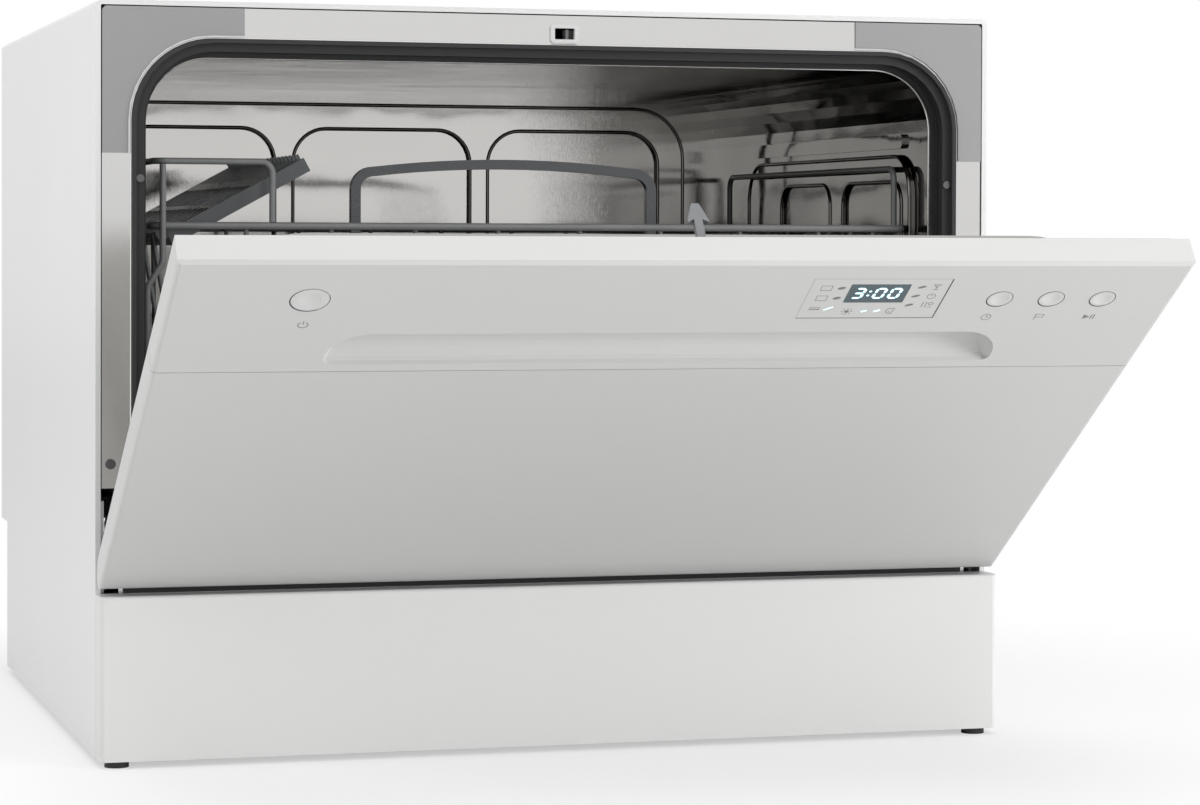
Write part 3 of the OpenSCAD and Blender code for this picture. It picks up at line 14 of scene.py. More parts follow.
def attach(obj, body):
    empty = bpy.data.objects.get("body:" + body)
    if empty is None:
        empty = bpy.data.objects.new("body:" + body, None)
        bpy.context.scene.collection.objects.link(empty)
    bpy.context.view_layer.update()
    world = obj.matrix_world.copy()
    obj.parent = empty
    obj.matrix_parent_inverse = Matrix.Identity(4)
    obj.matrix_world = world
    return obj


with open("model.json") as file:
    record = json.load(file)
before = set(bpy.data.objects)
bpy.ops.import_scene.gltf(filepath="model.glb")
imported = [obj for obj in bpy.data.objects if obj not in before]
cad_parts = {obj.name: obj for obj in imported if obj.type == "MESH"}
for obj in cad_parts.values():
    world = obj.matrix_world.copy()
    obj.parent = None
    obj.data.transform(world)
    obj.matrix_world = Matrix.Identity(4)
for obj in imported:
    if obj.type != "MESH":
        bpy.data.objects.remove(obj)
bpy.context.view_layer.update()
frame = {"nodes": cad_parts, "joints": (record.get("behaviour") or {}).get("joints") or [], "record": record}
MM = 0.001

# The hinge line and the door's lean come from the joint. The shut door's face lies HINGE_IN before the line,
# and its foot HINGE_UP below
door_hinge = next(joint for joint in frame["joints"] if joint["name"] == "door_hinge")
HINGE = np.array(door_hinge["pos_m"])
LEAN = -math.radians(door_hinge["range_deg"][0])
HINGE_IN = 5 * MM
HINGE_UP = 7.5 * MM
FACE_Y = HINGE[1] - HINGE_IN

# Camera, fitted to the photograph's outline. Its place is in millimetres from the shut door's face
CAMERA_PLACE = (-545.378, -1935.29, 300.748)
CAMERA_YAW = 0.28452
CAMERA_PITCH = -0.01734
CAMERA_ROLL = 0.003213
CAMERA_LENS = 102.15
SENSOR_WIDTH = 36.0
SHIFT_PIXELS = -100
IMAGE_WIDTH = 1200
FAR_CLIP = 60.0


def set_camera():
    """Camera axes from yaw, pitch and roll: forward is turned yaw to the right and pitch up, then rolled."""
    yaw, pitch, roll = CAMERA_YAW, CAMERA_PITCH, CAMERA_ROLL
    forward = np.array([math.sin(yaw) * math.cos(pitch), math.cos(yaw) * math.cos(pitch), math.sin(pitch)])
    level = np.array([math.cos(yaw), -math.sin(yaw), 0.0])
    upward = np.cross(level, forward)
    right = level * math.cos(roll) + upward * math.sin(roll)
    up = -level * math.sin(roll) + upward * math.cos(roll)
    data = bpy.data.cameras.new("photo_camera")
    data.sensor_width = SENSOR_WIDTH
    data.lens = CAMERA_LENS
    data.shift_y = SHIFT_PIXELS / IMAGE_WIDTH
    data.clip_end = FAR_CLIP
    camera = bpy.data.objects.new("photo_camera", data)
    bpy.context.scene.collection.objects.link(camera)
    turn = Matrix(np.column_stack([right, up, -forward]).tolist()).to_4x4()
    camera.matrix_world = Matrix.Translation(np.array(CAMERA_PLACE) * MM + (0, FACE_Y, 0)) @ turn
    bpy.context.scene.camera = camera


# Shader maths as Python expressions
class Value:
    """A socket that can be used in sums: each operator adds one Math node."""

    def __init__(self, owner, socket):
        self.owner = owner
        self.socket = socket

    def _math(self, operation, first, second):
        return self.owner.node("ShaderNodeMath", {"operation": operation}, {0: first, 1: second})

    def __add__(self, other):
        return self._math("ADD", self, other)

    def __radd__(self, other):
        return self._math("ADD", other, self)

    def __mul__(self, other):
        return self._math("MULTIPLY", self, other)

    def __rmul__(self, other):
        return self._math("MULTIPLY", other, self)

    def most(self, other):
        """The larger of the two."""
        return self._math("MAXIMUM", self, other)


class Nodes:
    """A material's or the world's node tree, emptied."""

    def __init__(self, tree):
        self.tree = tree
        tree.nodes.clear()

    def put(self, socket, value):
        """Links a Value to a node's input socket, or writes a number or colour into it."""
        if isinstance(value, Value):
            self.tree.links.new(value.socket, socket)
        else:
            socket.default_value = value

    def node(self, kind, settings=None, values=None, output=0):
        """Adds one node: its settings first, then its sockets' values or links."""
        made = self.tree.nodes.new(kind)
        for name, value in (settings or {}).items():
            setattr(made, name, value)
        for key, value in (values or {}).items():
            self.put(made.inputs[key], value)
        return Value(self, made.outputs[output])

    def end(self, kind):
        """Adds the tree's output node and gives the socket that the last shader goes into."""
        return self.tree.nodes.new(kind).inputs[0]

    def rays(self, *kinds):
        """The outputs of one Light Path node that have these names."""
        path = self.tree.nodes.new("ShaderNodeLightPath")
        return [Value(self, path.outputs[kind]) for kind in kinds]


class Finish(Nodes):
    """One material, whose surface is a Principled shader."""

    def __init__(self, name, slot=None, **constants):
        self.material = bpy.data.materials.new(name)
        self.material.use_nodes = True
        super().__init__(self.material.node_tree)
        self.slot = slot
        self.surface = self.node("ShaderNodeBsdfPrincipled")
        self.last = self.end("ShaderNodeOutputMaterial")
        self.put(self.last, self.surface)
        self.set(**constants)

    def set(self, **values):
        """Fills the surface's sockets, each named with _ for a space."""
        for name, value in values.items():
            self.put(self.surface.socket.node.inputs[name.replace("_", " ")], value)

    def place(self, stretch=(1, 1, 1)):
        """Object coordinates, stretched."""
        where = self.node("ShaderNodeTexCoord", output="Object")
        return self.node("ShaderNodeMapping", values={"Vector": where, "Scale": stretch})

    def noise(self, scale, detail=2.0, stretch=(1, 1, 1)):
        """Soft noise with scale lumps to the metre."""
        return self.node("ShaderNodeTexNoise", None,
                         {"Vector": self.place(stretch), "Scale": scale, "Detail": detail})

    def fade(self, value, low, high, start=0.0, end=1.0):
        """From start where value is low, to end where it is high, on a smooth S curve."""
        return self.node("ShaderNodeMapRange", {"interpolation_type": "SMOOTHSTEP"},
                         {0: value, 1: low, 2: high, 3: start, 4: end})

    def blend(self, factor, dark, light):
        """Colour between dark and light by factor."""
        return self.node("ShaderNodeMix", {"data_type": "RGBA"},
                         {0: factor, 6: (*dark, 1), 7: (*light, 1)}, output=2)

    def bumped(self, height, strength, distance, **under):
        """Bump of a height, on top of another bump where Normal gives one."""
        return self.node("ShaderNodeBump", None,
                         {"Height": height, "Strength": strength, "Distance": distance, **under})


def shade(colour, factor):
    """The colour times factor, kept below white."""
    return tuple(min(1.0, c * factor) for c in colour)


def lacquer(name, slot, colour, gloss):
    """Silver stove enamel on steel: fine flakes in the colour and a faint orange-peel in the coat."""
    flake = 0.03
    f = Finish(name, slot, Metallic=0.12, Coat_Weight=0.12, Coat_Roughness=0.25)
    flakes = f.noise(2600, 1.0)
    cloud = f.noise(3.0, 3.0)
    f.set(Base_Color=f.blend(flakes * 0.7 + cloud * 0.3, shade(colour, 1 - flake), shade(colour, 1 + flake)),
          Roughness=f.noise(9.0, 3.0) * 0.10 + (gloss - 0.05),
          Normal=f.bumped(f.noise(420), 0.04, 0.0004))
    return f


def moulded(name, slot, colour, gloss=0.42, grain=700, depth=0.10, tint=0.035):
    """Injection-moulded plastic: a fine spark-eroded grain and slight unevenness in colour and gloss."""
    f = Finish(name, slot)
    fine = f.noise(grain)
    cloud = f.noise(14.0, 3.0)
    f.set(Base_Color=f.blend(cloud, shade(colour, 1 - tint), shade(colour, 1 + tint)),
          Roughness=cloud * 0.10 + fine * 0.06 + (gloss - 0.08),
          Normal=f.bumped(fine, depth, 0.0003))
    return f


UPRIGHT = (1, 1, 30)
SIDEWAYS = (30, 1, 1)


def rolled_steel(name, slot, colour, gloss, stretch, wave, tint, reflection_weight=0.0):
    """Stainless sheet: rolling lines across the stretched axis, a drawn sheet's slow waves, and large dark and
    light blotches of painted reflection in the colour.
    """
    f = Finish(name, slot, Metallic=1.0)
    lines = f.noise(220, 3.0, stretch)
    slow = f.noise(11.0)
    # Painted reflection: large dark and light blotches that stand for mirrored surroundings, mixed into the
    # colour by its weight
    painted_reflection = f.fade(f.noise(5.0, 1.0, (1, 1, 1.6)), 0.34, 0.58)
    share = 0.5 - reflection_weight / 2
    f.set(Base_Color=f.blend(lines * share + slow * share + painted_reflection * reflection_weight,
                             shade(colour, 1 - tint), shade(colour, 1 + tint)),
          Roughness=lines * 0.08 + slow * 0.04 + (gloss - 0.06),
          Normal=f.bumped(lines, 0.05, 0.0004, Normal=f.bumped(slow, wave, 0.006)))
    return f


def bright_metal(name, slot, colour, gloss):
    """Plated steel with fine scratches."""
    f = Finish(name, slot, Metallic=1.0)
    marks = f.noise(900, 4.0, (1, 1, 6))
    f.set(Base_Color=f.blend(marks, shade(colour, 0.9), shade(colour, 1.05)),
          Roughness=marks * 0.2 + (gloss - 0.1),
          Normal=f.bumped(marks, 0.08, 0.0002))
    return f


def rubbery(name, slot, colour):
    """Black elastomer: dull, with a dusty bloom in soft blotches."""
    f = Finish(name, slot)
    bloom = f.noise(60, 4.0)
    f.set(Base_Color=f.blend(bloom, colour, shade(colour, 1.7)),
          Roughness=bloom * 0.15 + 0.54,
          Normal=f.bumped(f.noise(1500), 0.2, 0.0003))
    return f


def coated_wire(name, slot, colour):
    """Nylon-coated wire: a thick soft-edged coat that pools a little."""
    f = Finish(name, slot, Coat_Weight=0.3, Coat_Roughness=0.3)
    pool = f.noise(45, 3.0)
    f.set(Base_Color=f.blend(pool, shade(colour, 0.85), shade(colour, 1.15)),
          Roughness=pool * 0.2 + 0.3,
          Normal=f.bumped(f.noise(300), 0.25, 0.0006))
    return f


def glowing(name, slot, colour, strength):
    """Lit segments of the display, a little uneven as a back light is."""
    f = Finish(name, slot, Roughness=0.4, Emission_Strength=strength)
    uneven = f.noise(90, 1.0)
    f.set(Base_Color=f.blend(uneven, shade(colour, 0.8), colour),
          Emission_Color=f.blend(uneven, shade(colour, 0.9), colour))
    return f


# The finish of each material slot in the record
FINISHES = {
    "paint_case": lacquer("case_enamel", "paint_case", (0.64, 0.645, 0.64), 0.42),
    "paint_silver": lacquer("silver_enamel", "paint_silver", (0.52, 0.52, 0.515), 0.36),
    "silver_plastic": moulded("fascia_plastic", "silver_plastic", (0.515, 0.515, 0.507), 0.5, 900, 0.05,
                              0.015),
    "light_plastic": moulded("button_plastic", "light_plastic", (0.54, 0.54, 0.535), 0.36, 1200, 0.04, 0.02),
    "zinc": bright_metal("zinc_plate", "zinc", (0.62, 0.63, 0.64), 0.34),
    # Tub steel: a fifth of its colour's mix is painted reflection blotches
    "stainless": rolled_steel("tub_steel", "stainless", (0.44, 0.43, 0.415), 0.065, UPRIGHT, 0.12, 0.08, 0.2),
    "steel_bright": bright_metal("bright_steel", "steel_bright", (0.72, 0.72, 0.72), 0.2),
    "grey_plastic": moulded("grey_plastic", "grey_plastic", (0.27, 0.275, 0.28)),
    "dark_plastic": moulded("dark_plastic", "dark_plastic", (0.045, 0.045, 0.05), 0.5),
    "white_plastic": moulded("white_plastic", "white_plastic", (0.72, 0.72, 0.70), 0.38),
    "blue_grey": moulded("basket_plastic", "blue_grey", (0.075, 0.078, 0.082), 0.26),
    "nylon_grey": coated_wire("rack_coat", "nylon_grey", (0.155, 0.157, 0.16)),
    "rubber_black": rubbery("black_rubber", "rubber_black", (0.016, 0.016, 0.017)),
    "screen": moulded("screen_film", "screen", (0.062, 0.09, 0.105), 0.3, 1500, 0.02),
    "board": moulded("board_lacquer", "board", (0.02, 0.12, 0.06), 0.3),
    "pump_dark": lacquer("pump_enamel", "pump_dark", (0.05, 0.055, 0.06), 0.45),
}

# Finishes of single solids, and of the pieces made below
frame_steel = rolled_steel("frame_steel", "stainless", (0.66, 0.655, 0.645), 0.16, SIDEWAYS, 0.04, 0.02)
# The tub's walls and back are one steel: the dark copy on the walls and the light copy on the back are painted
# reflection, with more painted reflection blotches on the walls
dark_reflection_wall_steel = rolled_steel("dark_reflection_wall_steel", "stainless", (0.22, 0.214, 0.204), 0.06, SIDEWAYS, 0.2, 0.2, 0.4)
bright_reflection_back_steel = rolled_steel("bright_reflection_back_steel", "stainless", (0.56, 0.55, 0.535), 0.065, SIDEWAYS, 0.12, 0.08, 0.2)
# Dark copy of the steel on the pressings' bends: painted reflection of dark surroundings along the bends
dark_reflection_bend_steel = rolled_steel("dark_reflection_bend_steel", "stainless", (0.13, 0.127, 0.12), 0.09, UPRIGHT, 0.05, 0.05)
# Bright copy of the steel on the mouth's rim, the tub's lip and the gasket clips: a painted highlight
highlight_rim_steel = bright_metal("highlight_rim_steel", "stainless", (0.84, 0.835, 0.82), 0.2)
black_zinc = bright_metal("black_zinc", "zinc", (0.16, 0.16, 0.165), 0.3)
# Lighter copy of the silver enamel on the plinth: painted light that lifts it out of the door's shade
lightened_plinth_enamel = lacquer("lightened_plinth_enamel", "paint_silver", (0.61, 0.61, 0.605), 0.4)
cover_plastic = moulded("cover_plastic", "grey_plastic", (0.265, 0.265, 0.27), 0.42, 900, 0.05)
hook_plastic = moulded("hook_plastic", "grey_plastic", (0.17, 0.175, 0.18), 0.34)
printed_mark = moulded("printed_ink", "grey_plastic", (0.16, 0.16, 0.165), 0.5, 1500, 0.03)
shadow_line = moulded("shadow_line", "grey_plastic", (0.055, 0.055, 0.058), 0.6, 1500, 0.03)
pale_line = moulded("window_line", "light_plastic", (0.36, 0.36, 0.36), 0.4, 1500, 0.03)
segment_light = glowing("lit_segment", "screen", (0.62, 0.93, 1.0), 1.1)
OWN_FINISHES = {
    "front_frame": frame_steel,
    "corner_cover_left": cover_plastic,
    "corner_cover_right": cover_plastic,
    "plinth_panel": lightened_plinth_enamel,
    "cabinet_screws": black_zinc,
    "tub_wrap": dark_reflection_wall_steel,
    "tub_back": bright_reflection_back_steel,
    "latch_hook": hook_plastic,
}


def dress_solids():
    """Every CAD node takes the finish of its slot in the record, or one of its own."""
    for part in frame["record"]["subparts"]:
        materials = frame["nodes"][part["node"]].data.materials
        materials.clear()
        materials.append(OWN_FINISHES.get(part["node"], FINISHES[part["material_slot"]]).material)


# Pieces in mesh
def piece(name, points, faces, finish, body, smooth=False):
    """A mesh from an array of points and a list of faces, riding on a body."""
    mesh = bpy.data.meshes.new(name)
    mesh.from_pydata(np.asarray(points, float).tolist(), [], faces)
    mesh.update()
    if smooth:
        mesh.polygons.foreach_set("use_smooth", np.ones(len(mesh.polygons), bool))
    mesh.materials.append(finish.material)
    made = bpy.data.objects.new(name, mesh)
    bpy.context.scene.collection.objects.link(made)
    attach(made, body)


def joined(shapes):
    """Several shapes' points and faces as one: each shape's faces count on from the points before it."""
    start = np.cumsum([0] + [len(points) for points, faces in shapes])
    faces = [[int(i + begin) for i in face] for begin, (points, rows) in zip(start, shapes) for face in rows]
    return np.concatenate([points for points, rows in shapes]), faces


# Marks on the door, drawn in millimetres: x across and v up the shut door's face from its foot
def on_door(x, v, lift):
    """Metres x across, v up and lift in front of the shut door's face, turned about the hinge to the lean."""
    x, v, lift = np.broadcast_arrays(np.asarray(x, float), v, lift)
    back = -lift - HINGE_IN
    up = v - HINGE_UP
    y = HINGE[1] + back * math.cos(LEAN) - up * math.sin(LEAN)
    z = HINGE[2] + back * math.sin(LEAN) + up * math.cos(LEAN)
    return np.stack([x, y, z], -1)


def plate(outlines, lift, depth):
    """Flat marks of outlines, each a closed prism from depth below the face to lift above it."""
    shapes = []
    for outline in outlines:
        x, v = np.asarray(outline, float).T * MM
        twice_area = np.sum(x * np.roll(v, -1) - np.roll(x, -1) * v)
        if twice_area < 0:
            x, v = x[::-1], v[::-1]
        n = len(x)
        i = np.arange(n)
        j = (i + 1) % n
        sides = np.column_stack([j, i, n + i, n + j])
        faces = [i.tolist(), (n + i[::-1]).tolist()] + sides.tolist()
        shapes.append((np.concatenate([on_door(x, v, lift), on_door(x, v, -depth)]), faces))
    return joined(shapes)


def stroke(path, width):
    """A polyline's ribbon outline: each point is moved half the width to either side along the mean normal."""
    p = np.asarray(path, float)
    step = np.gradient(p, axis=0)
    normal = np.stack([-step[:, 1], step[:, 0]], -1)
    normal /= np.linalg.norm(normal, axis=1, keepdims=True)
    return np.concatenate([p + normal * width / 2, (p - normal * width / 2)[::-1]])


def bar(x0, v0, x1, v1, width):
    """A straight stroke from one point to another."""
    return stroke([(x0, v0), ((x0 + x1) / 2, (v0 + v1) / 2), (x1, v1)], width)


def bars(rows):
    """A bar for each row of x0, v0, x1, v1 and width."""
    return [bar(*row) for row in rows]


def arc(x, v, r, start, end, n=24):
    """Points of a circular arc, angles in degrees from the right, counter-clockwise."""
    t = np.radians(np.linspace(start, end, n))
    return np.stack([x + r * np.cos(t), v + r * np.sin(t)], -1)


def ring(x, v, r, start, end, width):
    """A stroke along an arc."""
    return stroke(arc(x, v, r, start, end), width)


def disc(x, v, r, ry=None, tilt=0.0, n=20):
    """Outline of an ellipse of half axes r and ry, tilted by tilt degrees."""
    t = np.linspace(0, 2 * math.pi, n, endpoint=False)
    a, b = r * np.cos(t), (ry or r) * np.sin(t)
    k = math.radians(tilt)
    return np.stack([x + a * math.cos(k) - b * math.sin(k), v + a * math.sin(k) + b * math.cos(k)], -1)


def moved(outlines, x, v):
    """The outlines, each drawn round 0, 0, moved to x, v."""
    return [np.asarray(outline, float) + (x, v) for outline in outlines]


# Places of the controls on the door's face
KEY_V = 304.0
KEY_R = 7.0
KEY_X = (173.0, 203.0, 233.0)
KEY_MARK_V = 286.5
POWER_X = -203.0
POWER_R = 10.0
POWER_MARK_V = 281.0
WINDOW_X = 101.0
WINDOW_V = KEY_V + 0.8
WINDOW_HALF_W = 39.0
WINDOW_HALF_H = 18.75

# A circle's stroke stops short of the full turn, so that its ends don't overlap
CIRCLE = (0, 359)


def power_mark():
    """Symbol below the power button: an open ring and a bar."""
    return moved([ring(0, 0, 2.6, 125, 415, 0.55), bar(0, 0.6, 0, 3.4, 0.55)], POWER_X, POWER_MARK_V)


def key_marks():
    """Symbols below the three keys: a clock, a flag and play with pause."""
    clock = [ring(-2, 0, 2.7, *CIRCLE, 0.4)] + bars([(-2, 0, -2, 1.8, 0.4), (-2, 0, -0.7, 0, 0.4)])
    flag = bars([(-3.4, -2.8, -3.4, 2.8, 0.45), (-3.4, 2.6, 1.2, 2.6, 0.4),
                 (-3.4, -0.2, 1.2, -0.2, 0.4), (1.2, 2.6, 1.2, -0.2, 0.4)])
    play = bars([(-0.4, -2.2, -0.4, 2.2, 0.7), (1.2, -2.2, 1.2, 2.2, 0.7)])
    play.insert(0, [(-5, -2.2), (-1.2, 0), (-5, 2.2)])
    return [mark for x, marks in zip(KEY_X, (clock, flag, play)) for mark in moved(marks, x, KEY_MARK_V)]


# Display: the corners that each lettered segment joins, in shares of the digit's width and height
SEGMENT_ENDS = {"a": ((0, 1), (1, 1)), "b": ((1, 1), (1, 0.5)), "c": ((1, 0.5), (1, 0)),
                "d": ((0, 0), (1, 0)), "e": ((0, 0.5), (0, 0)), "f": ((0, 1), (0, 0.5)),
                "g": ((0, 0.5), (1, 0.5))}
LIT_SEGMENTS = {"3": "abgcd", "0": "abcdef"}
SEGMENT_HALF = 0.75
SEGMENT_TIP = 0.7
SEGMENT_GAP = 0.25
DIGIT_SIZE = np.array([5.0, 8.8])
DIGIT_SLANT = 0.12
DIGITS = (("3", -13.4), ("0", -1.6), ("0", 7.0))
DIGITS_UP = 0.4
COLON_X = -5.0
COLON_UP = (2.4, 6.2)
COLON_R = 0.8


def slanted(x, up):
    """The point moved right by DIGIT_SLANT of its height."""
    return np.array([x + DIGIT_SLANT * up, up])


def digit(sign):
    """Seven-segment digit: each lit segment is a bar with pointed ends, a little short of its two corners."""
    made = []
    for letter in LIT_SEGMENTS[sign]:
        a, b = (slanted(*(DIGIT_SIZE * corner)) for corner in SEGMENT_ENDS[letter])
        along = (b - a) / np.linalg.norm(b - a)
        side = np.array([-along[1], along[0]]) * SEGMENT_HALF
        tip = along * SEGMENT_TIP
        a, b = a + along * SEGMENT_GAP, b - along * SEGMENT_GAP
        made.append([a, a + tip + side, b - tip + side, b, b - tip - side, a + tip - side])
    return made


def display_digits():
    """Three digits and a colon on the screen."""
    lit = [mark for sign, x in DIGITS for mark in moved(digit(sign), x, 0)]
    for up in COLON_UP:
        x, v = slanted(COLON_X, up)
        lit.append(disc(x, v, COLON_R, n=12))
    return moved(lit, WINDOW_X, WINDOW_V + DIGITS_UP)


def display_lamps():
    """Three lit lamps below the digits: short slanted bars."""
    rows = [(-25.5, -11, -21, -8, 0.8), (-3.8, -12.8, -1.0, -11.4, 1.0), (3.2, -12.6, 6.6, -11, 1.1)]
    return moved(bars(rows), WINDOW_X, WINDOW_V)


def window_marks():
    """Small pictograms round the screen: programme drawings and the lens-shaped lamps beside them."""
    marks = []
    for v in (10, 0.5):
        marks += bars([(-33, v - 2.2, -27, v - 2.2, 0.4), (-33, v + 2.2, -27, v + 2.2, 0.35),
                       (-33, v - 2.2, -33, v + 2.2, 0.35), (-27, v - 2.2, -27, v + 2.2, 0.35)])
        marks.append(disc(-21.5, v, 2.3, 1.2, 18))
    shelf = bars([(-34, -10.2, -28, -10.2, 0.9), (-34, -8.4, -28, -8.4, 0.35)])
    beams = [(math.cos(t), math.sin(t)) for t in np.arange(8) * math.pi / 4]
    sun = [disc(0, 0, 1.3)] + bars([(2 * c, 2 * s, 3.4 * c, 3.4 * s, 0.4) for c, s in beams])
    swirl = [ring(0, 0, 2.7, 40, 300, 0.45), ring(0, 0, 1.3, 200, 440, 0.4)]
    lenses = [disc(23.5 - k, 11 - 8.6 * k, 2.5, 1.0, 22) for k in range(3)]
    glass = bars([(29.5, 13.4, 34, 13.4, 0.35), (31.7, 13.2, 31.7, 9, 0.35), (29.8, 13.2, 31.7, 10.6, 0.35),
                  (33.7, 13.2, 31.7, 10.6, 0.35), (30, 8.8, 33.4, 8.8, 0.4)])
    clock = [ring(31.5, 2.2, 2.3, *CIRCLE, 0.4), bar(31.5, 2.2, 31.5, 3.8, 0.35)]
    cutlery = bars([(29, -8.4, 29, -3.2, 0.4), (31, -8.4, 31, -3.2, 0.4), (32.4, -8.4, 34.8, -8.4, 0.4)])
    cutlery.append(ring(33.6, -5, 1.3, *CIRCLE, 0.4))
    marks += shelf + moved(sun, -12, -12.4) + moved(swirl, 13, -12) + lenses + glass + clock + cutlery
    return moved(marks, WINDOW_X, WINDOW_V)


def window_edge(rows):
    """Lines round the display window: each row holds two of its corners, as signs of x and v, and a width."""
    w, h = WINDOW_HALF_W, WINDOW_HALF_H
    return moved(bars([(x0 * w, v0 * h, x1 * w, v1 * h, width) for x0, v0, x1, v1, width in rows]),
                 WINDOW_X, WINDOW_V)


def button_gap_shadows():
    """Painted shadow in the gap at the upper left of each button: from its edge out to a circle that swells as
    sin t does.
    """
    shadow_width, least, clear, n = 0.55, 0.12, 0.1, 40
    t = np.radians(np.linspace(40, 300, n))
    wide = shadow_width * np.sin(np.linspace(0, math.pi, n)) + least
    round_edge = np.stack([np.cos(t), np.sin(t)], -1)
    made = []
    for x, r in [(POWER_X, POWER_R)] + [(x, KEY_R) for x in KEY_X]:
        inner = round_edge * (r + clear)
        outer = round_edge * (r + clear + wide)[:, None]
        made += moved([np.concatenate([inner, outer[::-1]])], x, KEY_V)
    return made


def add_marks():
    """Inks and the painted shadow lines lie a hair above the fascia, and the lit ones on the screen's film,
    which lies lower.
    """
    lift, depth, film = 0.04 * MM, 0.1 * MM, -0.2 * MM
    pale_edges = [(-1, 1, 1, 1, 0.35), (-1, -1, -1, 1, 0.4)]
    dark_edges = [(1, -1, 1, 1, 0.7), (-1, -1, 1, -1, 0.5)]
    for name, outlines, finish, top, low in (
            ("power_symbol", power_mark(), printed_mark, lift, depth),
            ("key_symbols", key_marks(), printed_mark, lift, depth),
            ("window_symbols", window_marks(), printed_mark, lift, depth),
            ("window_outline", window_edge(pale_edges), pale_line, lift, depth),
            ("window_shadow", window_edge(dark_edges), shadow_line, lift, depth),
            ("button_shadow", button_gap_shadows(), shadow_line, lift, depth),
            ("display_lamps", display_lamps(), segment_light, lift * 1.5, depth),
            ("display_segments", display_digits(), segment_light, film + lift, depth - film)):
        piece(name, *plate(outlines, top, low), finish, "door")


# The tub's mouth, in millimetres: x across, y behind the shut door's face, z up from the worktop
MOUTH_HALF = 254.7
MOUTH_LOW = 128.5
MOUTH_TOP = 419.0
MOUTH_CORNER = 48.0
SILL_CORNER = 14.0
MOUTH_Y = 21.0
MOUTH_ARC = 16
RIM_INSET = 0.2
RIM_R = 0.6
LIP_INSET = 10.8
LIP_LOW = 150.0
LIP_Y = 38.2
LIP_R = 0.55
CLIP_X = (-58.7, 54.0, 168.0)
CLIP_Y = MOUTH_Y - 0.4
CLIP_Z = 418.2
CLIP_RADII = (2.4, 0.7, 0.8)
# Black strip of painted shade behind the door's foot
STRIP_HALF = 259.0
STRIP_LOW = 96.8
STRIP_TOP = 118.0
STRIP_FRONT = 19.8
STRIP_BACK = MOUTH_Y + 0.05


def mouth_path(inset):
    """Rounded outline of the mouth, inset all round: four quarter arcs whose ends join in straight sides."""
    rows = []
    for turn, side, up, level, corner in ((0, 1, 1, MOUTH_TOP, MOUTH_CORNER),
                                          (90, -1, 1, MOUTH_TOP, MOUTH_CORNER),
                                          (180, -1, -1, MOUTH_LOW, SILL_CORNER),
                                          (270, 1, -1, MOUTH_LOW, SILL_CORNER)):
        middle = side * (MOUTH_HALF - corner), level - up * corner
        rows.append(arc(*middle, corner - inset, turn, turn + 90, MOUTH_ARC))
    return np.concatenate(rows)


def lip_path():
    """The mouth's outline without its sill: up one side, over the top and down the other side."""
    arcs = mouth_path(LIP_INSET)[:2 * MOUTH_ARC]
    return np.concatenate([[(arcs[0, 0], LIP_LOW)], arcs, [(arcs[-1, 0], LIP_LOW)]])


def bead(path, y, radius, sides=8, closed=True):
    """Round bead: path point + radius * (cos t * outward normal + sin t * y axis). An open one is capped."""
    step = np.roll(path, -1, axis=0) - np.roll(path, 1, axis=0) if closed else np.gradient(path, axis=0)
    normal = np.stack([step[:, 1], -step[:, 0]], -1)
    normal /= np.linalg.norm(normal, axis=1, keepdims=True)
    t = np.linspace(0, 2 * math.pi, sides, endpoint=False)
    flat = path[:, None, :] + radius * np.cos(t)[None, :, None] * normal[:, None, :]
    depth = np.broadcast_to(y + radius * np.sin(t), flat.shape[:2])
    points = np.stack([flat[..., 0] * MM, depth * MM + FACE_Y, flat[..., 1] * MM], -1).reshape(-1, 3)
    i, k = np.meshgrid(np.arange(len(path) - (not closed)), np.arange(sides), indexing="ij")
    i2, k2 = (i + 1) % len(path), (k + 1) % sides
    corners = [i * sides + k, i * sides + k2, i2 * sides + k2, i2 * sides + k]
    faces = np.stack(corners, -1).reshape(-1, 4).tolist()
    if not closed:
        last = (len(path) - 1) * sides
        faces += [list(range(sides))[::-1], list(range(last, last + sides))]
    return points, faces


def stud(place, rings=6, sides=12):
    """Half-sunk stud: an ellipsoid of radii a, b, c, place + (a sin u cos t, b sin u sin t, c cos u)."""
    u = np.linspace(0, math.pi, rings + 1)[1:-1]
    t = np.linspace(0, 2 * math.pi, sides, endpoint=False)
    rows = np.stack([np.outer(np.sin(u), np.cos(t)), np.outer(np.sin(u), np.sin(t)),
                     np.outer(np.cos(u), np.ones(sides))], -1).reshape(-1, 3)
    points = np.concatenate([rows, [[0, 0, 1], [0, 0, -1]]]) * CLIP_RADII + place
    k = np.arange(sides)
    k2 = (k + 1) % sides
    begin = np.arange(rings - 2)[:, None] * sides
    last = (rings - 2) * sides
    quads = np.stack([begin + k, begin + sides + k, begin + sides + k2, begin + k2], -1).reshape(-1, 4)
    top = np.column_stack([np.full(sides, len(rows)), k, k2])
    low = np.column_stack([np.full(sides, len(rows) + 1), last + k2, last + k])
    return points * MM + (0, FACE_Y, 0), quads.tolist() + top.tolist() + low.tolist()


